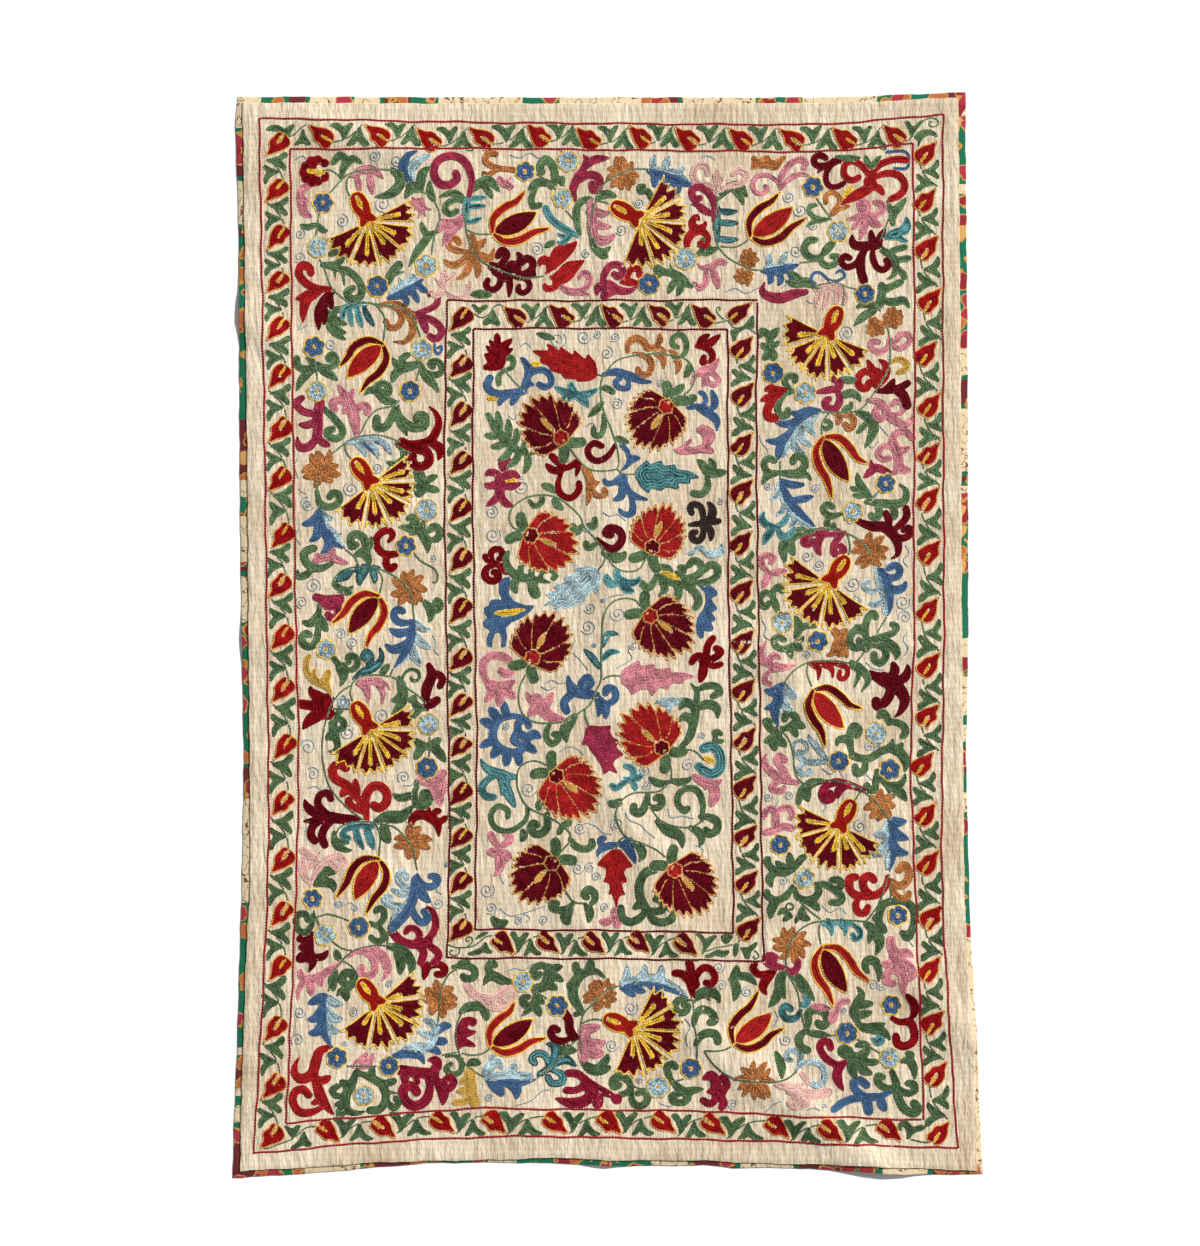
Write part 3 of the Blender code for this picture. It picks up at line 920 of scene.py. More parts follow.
# %% Ten tulips
TULIPS = (
    # base, bud tip, the two petal tips, bud colour, petal colour
    ((492, 233), (537, 212), (525, 191), (551, 228), "maroon", "red"),
    ((750, 237), (793, 207), (780, 192), (807, 218), "red", "maroon"),
    ((383, 344), (347, 378), (339, 367), (360, 393), "red", "maroon"),
    ((379, 596), (349, 634), (331, 624), (366, 648), "maroon", "red"),
    ((379, 859), (355, 900), (336, 898), (366, 914), "red", "maroon"),
    ((823, 437), (849, 482), (832, 499), (868, 464), "maroon", "red"),
    ((813, 690), (844, 729), (825, 747), (863, 709), "red", "maroon"),
    ((822, 947), (847, 993), (834, 1007), (870, 982), "maroon", "red"),
    ((490, 1046), (533, 1019), (515, 1001), (547, 1038), "maroon", "red"),
    ((733, 1043), (772, 1013), (759, 990), (785, 1028), "red", "maroon"),
)

# %% One tulip
def tulip(base, tip, petal_a, petal_b, bud_colour, petal_colour):
    """A bud from its base to its tip, and an S-shaped petal on either side."""
    base, tip = np.array(base, float), np.array(tip, float)
    way = tip - base
    side = np.array([-way[1], way[0]]) / np.hypot(*way)
    t = np.linspace(0, 1, 24)
    start = base + way * 0.06
    spine = start + np.outer(t, tip - start) + np.outer(np.sin(t * np.pi) * 1.5, side)
    belly = 10.6 * np.sin(np.pi * t**0.92) ** 0.85
    bud = np.column_stack([spine, np.maximum(belly * (1 - 0.18 * t), 0.6)])
    fill(bud_colour, [on_cloth(bud)], outline="yellow", part="field")
    for petal in (petal_a, petal_b):
        petal = np.array(petal, float)
        out = np.sign(np.dot(petal - (base + way * 0.8), side)) or 1.0
        elbow = (base + way * 0.72 + side * out * 17.5) * 0.5 + (petal * 0.72 + base * 0.28) * 0.5 + side * out
        line = curve_through([
            base, base + way * 0.16 + side * out * 13.0, base + way * 0.45 + side * out * 18.0, elbow, petal])
        s = np.linspace(0, 1, len(line))
        r = 4.2 * np.clip(np.sin(np.pi * (0.1 + 0.86 * s)) ** 0.7, 0.16, 1)
        fill(petal_colour, [on_cloth(np.column_stack([line, r]))], outline="yellow", part="field")


for row in TULIPS:
    tulip(*row)
print("tulips:", len(TULIPS))

# %% [markdown]
# ## Palmettes
#
# The ten great flowers of the middle are a fan of six or seven toothed petals round a lobed heart, with
# an ochre drop standing on it and two round green sepals behind. One ring of points is the whole fan:
# its edge goes out and in at every tooth, and thin ochre lines part the petals.

# %% Ten palmettes
PALMETTES = (
    # base, heading of the opening, reach, colour of the petals, colour of the heart
    ((563, 440), 132, 55, "maroon", "red"),
    ((668, 404), -128, 54, "maroon", "red"),
    ((528, 534), -26, 55, "red", "maroon"),
    ((651, 550), 66, 50, "red", "maroon"),
    ((531, 660), 58, 55, "maroon", "red"),
    ((648, 614), -40, 56, "maroon", "red"),
    ((664, 750), 134, 56, "red", "maroon"),
    ((554, 774), -42, 57, "red", "maroon"),
    ((554, 861), -136, 54, "maroon", "maroon"),
    ((673, 868), -50, 57, "maroon", "red"),
)

# %% One palmette
def palmette(base, heading, reach, colour, heart, number):
    """A lobed heart at the base and a fan of toothed petals. Angles are in degrees from the heading."""
    rnd = random.Random(40 + number)
    bx, by = base

    def polar(r, a):
        """The place at a distance from the base and at an angle in the fan."""
        a = math.radians(heading + a)
        return bx + r * math.cos(a), by - r * math.sin(a)

    def far(a):
        """The fan is long in the middle and short at its sides."""
        return reach * np.interp(abs(a), (0, 20, 40, 60, 80, 96), (1, 0.92, 0.79, 0.66, 0.54, 0.42))

    drop = [(*polar(13 + 2 * k, 4), r) for k, r in enumerate((0.9, 1.3, 1.8, 2.2, 2.4, 2.5, 2.2, 1.8, 1.2))]
    fill("ochre_yellow", [on_cloth(drop)], outline="amber", part="panel")
    fill("ochre_yellow", [on_cloth((*polar(-1, 0), 1.8))], part="panel")
    cx, cy = polar(3, 0)
    turns = np.radians(heading + 20 + 60 * np.arange(6))
    lobes = [(cx, cy, 6.4)] + [(cx + 5 * c, cy - 5 * d, 3.2) for c, d in zip(np.cos(turns), np.sin(turns))]
    fill(heart, [on_cloth(lobe) for lobe in lobes], outline="amber", part="panel")
    petals = 6 + number % 2
    spread = 96.0
    for k in range(1, petals):
        a = -spread + 2 * spread * k / petals + rnd.uniform(-3, 3)
        line = [polar(12, a * 0.9), polar(far(a) * 0.5, a), polar(far(a) * 0.9, a * 0.95)]
        thread_line("amber", line, 1.4, "panel")
    ring = []
    for k in range(petals):
        low, high = -spread + 2 * spread * k / petals, -spread + 2 * spread * (k + 1) / petals
        for m in range(TEETH):
            a = low + (high - low) * (m + 0.5) / TEETH
            ring.append(polar(far(a) * rnd.uniform(0.99, 1.07), a * 0.98))
            a += (high - low) * 0.5 / TEETH
            ring.append(polar(far(a) * (0.86 if m < TEETH - 1 else 0.8), a))
    ring = [polar(9, -108)] + ring[:-1] + [polar(9, 108), polar(3, 180)]
    fill(colour, ring=ring_of(ring), outline="amber", part="panel")
    for side in (1, -1):
        sepal = arm(*polar(9, side * 145), heading + side * 145, 10, side * -30, 10.5, "s")
        fill("leaf_green", [on_cloth(sepal)], part="panel")


for number, row in enumerate(PALMETTES):
    palmette(*row, number)
print("palmettes:", len(PALMETTES))

# %% [markdown]
# ## Vines
#
# Thin green stems carry everything. Each is a single row of links along a smooth line through a few
# places on the chart. They are worked before the leaves, so a stem still shows where it runs through one.

# %% Stems of the wide band and of the middle
BAND_VINES = """
341,180 350,174 366,170 392,170 397,174 | 323,171 330,170 337,174 341,179 | 341,180 329,194 | 319,213 316,236
| 320,259 325,269 333,289 350,304 | 353,201 347,190 347,181 350,176 | 420,191 429,195 436,204 440,217
437,226 435,234 432,254 | 465,207 466,229 472,249 479,259 490,266 499,270 523,278 544,276 | 467,230 477,234
492,234 | 342,306 350,304 360,303 372,303 380,309 385,320 383,344 | 372,303 400,307 409,314 417,327 421,340
| 537,174 547,180 556,190 | 566,210 574,220 579,229 580,234 | 596,200 601,187 616,176 633,169 649,169 |
595,201 607,203 616,209 | 593,203 591,220 590,239 593,246 | 719,196 716,214 715,233 718,246 726,256 737,263
751,269 763,270 | 718,246 734,247 744,243 750,238 | 817,198 823,207 831,220 | 887,200 890,214 884,230
880,240 | 800,263 820,261 | 817,286 829,283 839,283 844,289 843,301 840,311 | 843,286 857,289 | 873,301
881,311 | 886,326 889,331 890,349 889,367 884,377 877,389 859,410 829,412 820,411 | 829,413 822,423 822,437
| 780,461 780,480 | 879,491 871,499 | 329,456 345,443 357,437 375,435 390,438 400,442 | 345,443 347,453
356,463 | 360,434 367,420 377,410 393,406 400,400 | 416,381 420,367 421,355 | 314,347 315,363 317,377
317,391 | 320,477 317,489 320,504 | 346,550 355,557 360,567 | 343,593 333,586 335,577 343,570 357,567
375,568 389,573 400,580 409,591 413,606 414,620 | 379,571 383,580 379,596 | 393,669 390,677 | 352,684
360,677 375,675 392,677 400,681 409,689 419,696 426,703 | 352,684 350,694 355,707 349,709 333,709 | 352,684
340,693 330,709 324,730 322,751 326,777 335,794 349,809 363,820 | 335,836 340,827 353,822 372,822 377,827
380,839 379,857 | 377,823 395,827 406,839 413,851 417,870 | 430,737 429,757 | 419,779 411,794 | 392,927
388,936 387,944 | 329,991 332,974 342,960 355,950 372,946 392,946 | 343,961 352,966 357,974 360,983 |
314,910 316,917 320,926 | 317,917 329,914 349,921 | 332,941 343,949 355,951 | 457,969 450,973 443,984
440,997 439,1017 437,1026 | 347,1066 377,1066 | 462,1011 457,1026 456,1040 459,1051 463,1061 472,1070
484,1077 | 459,1052 472,1055 483,1053 490,1048 | 442,1055 457,1052 | 533,989 547,999 | 607,989 619,986 |
607,989 593,1003 584,1014 581,1024 580,1036 581,1054 | 581,1024 593,1019 606,1020 | 577,1040 567,1049
556,1063 543,1073 537,1078 | 693,999 694,1011 694,1023 697,1043 697,1059 | 634,1086 646,1091 | 670,1083
684,1079 | 731,1046 721,1050 704,1050 | 703,1049 711,1061 726,1074 741,1080 769,1082 786,1079 797,1071 |
857,1039 869,1046 880,1053 | 826,1036 836,1035 | 786,969 797,991 800,1007 803,1021 806,1031 | 786,967
787,953 791,941 800,930 811,923 821,921 843,920 866,922 | 821,921 819,931 821,947 | 866,922 877,907 884,889
889,874 | 891,880 891,900 | 800,901 809,910 821,919 | 780,729 789,739 793,754 795,771 800,781 809,785 |
806,786 820,781 837,781 856,786 871,797 881,809 889,819 | 860,791 853,803 | 813,689 807,673 808,663 |
784,683 791,673 800,666 814,661 836,661 854,663 866,650 | 887,617 877,633 | 786,561 789,543 797,533 814,529
837,530 850,534 863,543 871,554 | 848,534 850,547 847,561
"""
PANEL_VINES = """
674,400 689,391 695,377 691,364 680,357 661,354 644,354 630,356 616,361 607,371 602,381 601,397 604,411
611,429 617,446 619,460 617,469 604,471 590,469 580,461 570,447 567,441 | 597,375 604,376 | 617,469 623,474
636,474 | 504,369 516,383 524,390 | 523,531 513,527 509,516 514,506 529,497 547,495 564,501 580,516 584,526
596,540 604,551 614,566 626,571 639,569 646,559 | 606,553 604,563 598,570 | 643,611 637,601 627,598 614,601
606,610 603,624 602,643 601,664 601,680 596,691 591,703 585,709 573,717 561,722 547,723 533,721 523,714
519,703 519,689 523,679 529,670 | 601,681 610,676 620,676 | 585,709 585,717 589,726 | 553,771 544,764
533,761 521,766 517,779 519,793 527,806 539,813 550,817 561,824 570,833 570,841 561,851 | 666,754 671,766
671,779 661,790 649,792 633,793 621,801 616,814 619,826 626,836 641,843 657,850 670,861 | 626,836 619,841
616,850 | 670,751 680,750 694,751 704,760 | 650,807 659,819 673,826 690,827 704,820
"""
VINE_WIDTH = 2.5

for part, table in (("field", BAND_VINES), ("panel", PANEL_VINES)):
    lines = table.split("|")
    laid = sum(thread_line("stem", places(line), VINE_WIDTH, part, seed=n) for n, line in enumerate(lines))
    print(part, "vines:", len(lines), "stems,", laid, "links")

# %% [markdown]
# ## Leaves, claws and scrolls
#
# Each line of a table is one motif: its silk, perhaps the silk of its edge, and its strokes. A stroke is
# the places that it passes through from its root, and it may end in a width and a kind: p tapers to a
# point, r ends in a knob, s stays even, b starts broad, l is narrow at both ends, and o is a closed
# outline. A single place is a round lobe. Indented lines go on with the motif above them.

# %% The reader of the tables
def stroke_through(spots, width, kind):
    """A tapering stroke through chart places."""
    if len(spots) == 1:
        return np.array([(*spots[0], width / 2)])
    line = curve_through(spots, 1.6)
    t = np.linspace(0, 1, len(line))
    if kind == "p":
        r = np.interp(t, (0, 0.25, 0.55, 0.8, 1.0), (0.55, 0.95, 1.0, 0.66, 0.16))
    elif kind == "r":
        r = np.interp(t, (0, 0.3, 0.7, 0.88, 1.0), (0.5, 0.84, 0.82, 0.84, 0.78))
    elif kind == "b":
        r = np.interp(t, (0, 0.5, 1.0), (1.15, 0.75, 0.2))
    elif kind == "l":
        r = np.interp(t, (0, 0.15, 0.4, 0.6, 0.85, 1.0), (0.12, 0.6, 1.0, 1.0, 0.6, 0.12))
    else:
        r = np.ones(len(line))
    return np.column_stack([line, np.maximum(0.5 * width * r, 0.35)])


def work(table, part):
    """Stitches every motif of a table, in order."""
    laid = motifs = 0
    for row in table.strip().replace("\n  ", " ").splitlines():
        head, body = row.split(":")
        bits = head.split()
        colour, outline = bits[0], bits[1] if len(bits) > 1 else None
        strokes, ring = [], None
        for word in body.split(";"):
            tokens = word.split()
            width, kind = 7.0, "p"
            if "," not in tokens[-1]:
                mark = tokens.pop()
                width, kind = float(mark[:-1] or 0), mark[-1]
            if kind == "o":
                ring = ring_of(places(" ".join(tokens)))
            else:
                strokes.append(on_cloth(stroke_through(places(" ".join(tokens)), width, kind)))
        laid += fill(colour, strokes, ring, outline, part=part)
        motifs += 1
    return motifs, laid

# %% Top band
TOP_BAND = """
yellow: 309,171 316,172 323,172 5s
deep_red: 325,163 9s; 318,160 10s; 311,161 10s; 306,166 10s; 304,172 10s; 306,178 10s; 312,182 10s; 318,181
  10s; 325,178 8s; 326,175 7s; 312,166 10s; 311,177 10s
leaf_green: 341,178 344,167 346,159 340,155 334,162 9r; 342,172 352,159 364,164 8p
pink: 311,184 302,190 301,200 303,210 8s; 304,200 304,212 313,217 9p; 303,196 312,204 6p
leaf_green: 317,224 308,227 299,224 7p; 317,224 323,230 329,231 7p
leaf_green: 322,264 335,264 342,259 338,252 331,254 8r; 322,265 336,268 350,272 361,284 361,296 352,299
  347,292 353,288 9r; 334,268 336,280 7p; 343,272 345,288 7p
leaf_green: 392,170 400,177 399,186 390,194 375,197 11p
pink: 351,176 362,170 374,170 384,179 9p; 356,175 359,184 360,193 7p; 370,173 371,184 373,195 8p
leaf_green: 421,190 421,180 424,172 431,167 10p; 421,190 411,189 405,199 9p; 418,188 413,184 404,186 6p
leaf_green: 434,200 430,191 430,180 8p
pink: 422,208 413,201 8s; 422,208 421,201 8s; 422,208 436,210 7p; 422,208 427,219 7p; 422,208 418,220 8p;
  422,208 412,210 8p
leaf_green: 436,232 429,236 424,243 417,252 409,267 9p; 430,236 424,230 421,221 7p; 426,240 417,245 6p
leaf_green: 388,281 392,273 399,265 9s; 395,274 407,271 7p
magenta: 469,196 472,181 468,166 460,158 449,156 438,161 434,172 439,183 449,185 457,179 456,173 10r
teal: 468,197 466,210 467,225 8p; 467,199 477,198 488,197 6p; 466,207 476,206 488,206 6p; 467,222 474,221
  483,217 6p
leaf_green: 466,200 456,193 446,194 438,198 7p; 466,203 458,199 448,203 445,209 450,214 457,211 8r
leaf_green: 473,190 480,183 490,181 500,192 10p; 482,184 488,190 493,199 7p
pink: 464,218 455,222 441,219 10b; 463,222 452,230 443,246 11p; 452,224 443,226 439,233 8p
ochre: 471,252 460,251 450,247 449,240 456,238 460,243 8r; 470,254 458,264 449,264 443,258 8p; 471,254
  469,267 462,277 455,278 8p; 474,256 478,268 477,279 8p; 472,252 482,256 490,258 495,247 9p; 473,250
  480,245 487,238 8p; 472,250 474,243 472,237 8s
blush: 444,291 444,278 445,268 8p; 444,288 434,276 9p; 444,291 436,295 430,293 8p; 444,291 456,298 467,294
  470,283 7r; 444,284 452,276 456,271 7p; 444,290 442,299 7p
leaf_green: 470,294 482,294 493,295 9l
red: 332,289 315,288 304,281 299,273 302,265 309,267 311,273 10r; 322,290 308,298 304,308 303,322 11p;
  312,291 302,297 295,299 8p
maroon: 333,290 324,302 319,315 319,330 11p; 330,294 331,303 332,310 7p; 325,306 325,318 324,325 7p
teal: 342,311 352,305 362,303 369,306 9p; 344,310 343,316 343,321 6p; 350,309 351,320 353,327 6p; 357,308
  360,320 363,328 7p; 364,307 368,316 375,327 7p
blue: 414,184 406,179 403,168 408,156 418,151 10p
pale_blue: 413,182 410,172 416,163 424,158 432,154 10p; 416,163 424,163 5p; 413,170 420,169 5p
blue: 389,298 402,294 414,287 424,278 9p; 418,284 424,290 429,292 7p; 411,289 416,297 419,303 7p; 402,294
  407,301 408,307 7p; 396,296 390,302 6p
pale_blue: 390,293 402,286 411,281 421,277 8p; 402,286 401,281 399,277 5p; 411,281 410,277 418,275 5p
ochre: 516,170 506,169 497,168 6s; 500,168 494,171 487,176 484,173 7r; 500,168 490,165 485,160 489,153
  496,154 8r
pink: 500,182 506,184 514,188 8p; 505,183 514,174 7p; 506,184 511,191 7p; 504,184 500,179 7s
leaf_green: 552,188 555,178 553,166 546,159 540,166 542,172 10r; 550,186 562,178 562,184 7r; 552,184 542,182
  534,184 528,191 9p; 538,184 532,196 533,206 540,205 8r
magenta: 575,200 573,190 577,179 583,170 586,160 583,154 9p; 584,168 594,160 610,158 9p; 578,182 588,175
  598,177 600,186 594,190 592,184 10r; 586,160 590,154 6p
leaf_green: 597,199 606,194 618,197 9p
leaf_green: 592,243 597,250 603,252 612,246 8p; 597,250 602,255 609,257 8p; 592,240 594,248 6s
pink: 592,204 592,215 592,226 594,238 10s; 593,208 602,214 611,212 8p; 592,220 602,226 612,227 8p; 594,236
  604,241 616,234 10p
leaf_green: 640,193 639,187 644,186 7r; 641,193 648,191 652,198 658,198 8r
leaf_green: 580,234 577,222 577,208 582,201 590,200 593,208 589,212 9r
teal: 579,236 569,231 559,225 550,217 546,208 9r; 558,224 554,216 5p; 572,234 566,240 561,243 556,240 6p
teal: 573,236 562,236 557,232 5p
leaf_green: 556,241 550,244 544,247 7l
red: 544,276 546,271 546,265 542,264 540,268 537,262 539,257 544,255 550,257 551,252 555,247 561,244 570,243
  578,240 577,246 572,254 565,261 557,268 549,273 o
red: 545,277 552,275 558,270 562,265 568,261 578,260 586,259 583,264 577,272 573,278 567,283 561,284 558,289
  552,292 546,292 542,288 543,283 545,282 549,286 552,285 553,281 550,278 o
maroon: 492,266 506,270 520,276 532,274 9s; 497,267 503,262 507,254 502,250 498,256 9r; 510,270 519,264
  520,255 515,252 8p; 520,275 531,270 533,262 527,258 523,262 9r; 516,272 525,277 530,286 524,293 518,290
  519,286 7r; 508,272 510,284 509,298 7p; 500,270 501,279 498,287 491,290 486,285 488,280 8r; 512,266
  516,272 12s; 497,270 506,276 12s
pink: 560,285 569,291 580,292 591,296 8p; 572,291 584,289 590,281 588,274 583,273 580,277 8r
magenta: 602,289 604,276 610,266 619,265 623,271 619,277 614,274 9r; 602,290 598,286 597,296 7p; 604,294
  608,284 618,290 629,291 638,286 9p; 604,296 612,292 8s
red: 638,283 628,282 619,282 8p; 627,281 629,272 634,268 640,270 639,275 8r
leaf_green: 662,272 672,273 682,278 690,286 695,284 9p; 664,272 657,268 659,274 8s; 672,272 670,262 7p;
  678,277 672,286 668,294 8p; 683,280 680,290 677,296 8p; 690,285 696,290 5p
red: 687,249 688,239 694,230 692,222 697,216 700,222 9p; 690,236 702,231 708,238 705,246 700,243 8r; 692,230
  704,226 706,220 7p
magenta: 714,221 715,206 709,193 699,187 692,190 694,199 700,198 9r; 713,214 704,210 698,205 691,204 8p
blush: 718,192 718,180 717,168 8p; 716,190 708,184 700,184 693,176 697,166 706,166 708,174 8r; 719,190
  730,186 740,184 747,176 740,170 733,174 8r; 716,182 712,172 7p; 721,182 726,172 7p
ochre: 750,170 752,163 751,156 755,155 759,159 764,155 769,155 773,161 781,156 788,155 783,163 777,171
  770,169 761,168 o
pink: 781,189 777,181 770,176 762,175 755,178 753,187 757,193 764,193 768,188 765,186 6r; 781,189 780,180
  784,172 789,165 795,161 802,159 806,163 804,168 8r; 782,188 787,181 794,176 802,174 812,177 6p
leaf_green: 834,156 846,158 862,158 7l
leaf_green: 872,168 868,162 865,154 6p; 872,168 876,161 882,155 6p
red: 873,182 867,172 860,164 851,161 845,165 844,173 848,179 854,180 859,177 8r; 872,174 878,166 888,161
  898,159 907,160 7s; 870,180 880,175 890,173 900,176 905,185 901,194 891,199 9r; 872,187 879,188 884,196
  8p; 874,182 866,190 855,196 847,200 841,205 11p; 869,181 872,186 11s
maroon: 860,158 850,158 838,160 828,165 820,170 817,174 8p; 829,163 819,166 814,162 815,157 821,155 826,158
  8r; 838,161 829,168 826,176 827,183 832,187 839,186 844,183 7r
yellow: 843,199 848,192 854,185 7l
blue: 886,152 904,151 909,157 907,168 894,168 3s
blue: 819,286 811,280 814,273 821,273 829,280 837,281 845,276 841,270 836,273 3s
ochre: 831,216 837,208 840,201 838,195 832,192 826,196 826,203 6r; 836,211 843,207 852,206 6p; 833,213
  838,207 7s
leaf_green: 831,219 822,219 814,217 809,211 810,206 816,205 6r; 826,220 815,221 806,227 6p
pink: 865,214 861,206 860,197 9p; 866,214 868,206 863,201 8s; 866,214 876,215 883,210 882,204 875,202 8r;
  864,215 855,218 847,219 9b; 864,217 857,223 852,231 7p; 865,216 864,228 860,240 9p; 867,216 875,223
  882,226 10p; 865,214 10s
leaf_green: 893,224 893,214 900,206 907,197 9p; 893,214 890,208 888,202 7p
teal: 883,238 889,230 899,227 904,222 905,215 910,219 912,228 908,234 902,236 911,242 905,243 897,240
  886,240 o
maroon: 867,246 857,246 852,241 853,234 9p; 857,246 878,245 9s; 876,246 872,238 871,229 8p; 878,245 881,236
  886,228 8p; 877,242 8s; 864,247 861,257 854,265 846,267 841,261 845,256 850,258 8r; 866,248 861,258
  861,270 864,281 11r; 873,247 873,257 876,266 883,270 889,265 886,260 8r
leaf_green: 879,243 883,250 892,256 896,265 893,276 885,279 8p; 888,252 897,249 905,247 8r; 894,260 903,259
  909,258 8r; 895,267 902,272 905,277 8r
leaf_green: 834,242 828,248 821,257 9p; 820,257 810,257 804,250 808,241 815,240 9r; 821,254 822,262 828,266
  836,263 838,257 832,256 8r
leaf_green: 718,198 728,188 740,186 748,198 10p; 732,188 740,196 744,206 7p
teal: 718,206 717,220 717,234 718,246 8p; 719,210 728,212 739,211 7p; 718,222 728,223 740,223 7p; 718,238
  728,240 740,239 7p
leaf_green: 717,248 708,252 700,252 695,258 8p; 710,252 706,242 700,238 7p; 708,252 702,246 696,246 6p
pink: 702,268 712,266 720,261 725,263 8r; 712,268 716,278 719,290 8p; 706,270 706,282 700,288 694,284 8r;
  702,268 696,262 7p
magenta: 806,292 794,294 781,298 768,296 762,290 765,282 11p; 788,296 788,303 6p; 796,293 797,301 6p
leaf_green: 818,287 806,282 796,284 785,281 10p; 802,283 796,276 788,272 7p
blush: 817,288 828,286 842,287 9s; 820,288 818,298 816,308 7p; 828,288 827,300 823,310 7p; 836,288 838,300
  834,310 7p; 842,288 846,298 845,306 7p
leaf_green: 879,305 882,294 882,286 9s; 882,292 892,286 901,282 9r; 882,300 894,302 904,300 910,308 9p
leaf_green: 877,307 866,304 855,308 8p; 876,310 864,316 854,326 9p
blue: 649,171 664,176 680,182 697,186 10p; 654,173 655,181 654,188 8p; 664,176 667,184 665,191 8p; 674,181
  678,188 677,195 8p
pale_blue: 651,167 664,170 678,174 690,180 7p; 653,168 653,160 656,154 7p; 664,170 667,162 669,155 8p;
  676,174 681,170 685,167 7p
blue: 763,271 776,271 789,268 800,264 9p; 770,272 771,280 768,285 7p; 779,271 781,280 778,286 7p; 788,269
  792,276 790,283 7p
pale_blue: 765,268 778,267 790,264 7p; 770,267 769,258 771,253 7p; 780,266 784,257 788,251 7p; 789,265
  796,258 7p
"""
print("top band:", work(TOP_BAND, "field"))

# %% [markdown]
# ## Ochre flowers
#
# These are looser: a ring of club-shaped petals round nothing much, with gaps between them.

# %% Ochre flowers
OCHRE_FLOWERS = (
    # across, down, reach, petals, width of a petal, turned
    (623, 174, 19, 10, 7, 8),
    (748.6, 258.6, 11, 9, 5.5, 0),
    (744, 275.7, 11, 9, 5.5, 20),
    (893, 318, 12, 9, 6, 0),
    (876, 327, 11, 9, 6, 10),
    (321.7, 468.6, 20, 9, 8, 12),
    (409, 588.6, 20, 9, 8, 0),
    (412.4, 841.4, 20, 8, 8, 20),
    (440, 998.6, 20, 8, 9, 10),
    (600.7, 994.3, 18, 12, 7, 0),
    (791.4, 944.3, 21, 9, 7.5, 5),
    (755, 1080, 22, 11, 6.5, 0),
    (880.7, 805.7, 17, 8, 8, 0),
    (870.7, 551.4, 20, 9, 8, 15),
)


def ochre_flower(across, down, reach, petals, width, turned):
    """Narrow petals that leave a round eye, each bent a little."""
    rnd = random.Random(int(across))
    strokes = []
    for k in range(petals):
        a = turned + 360 * k / petals + rnd.uniform(-6, 6)
        long = reach * rnd.uniform(0.86, 1.06)
        tip = a + rnd.uniform(-16, 16)
        spots = [(across + r * math.cos(math.radians(b)), down - r * math.sin(math.radians(b)))
                 for r, b in ((3, a), (0.55 * long, a), (long, tip))]
        strokes.append(on_cloth(stroke_through(spots, 1.1 * width, "p")))
    fill("ochre", strokes + [on_cloth((across, down, 0.26 * reach))], part="field")


for row in OCHRE_FLOWERS:
    ochre_flower(*row)
print("ochre flowers:", len(OCHRE_FLOWERS))

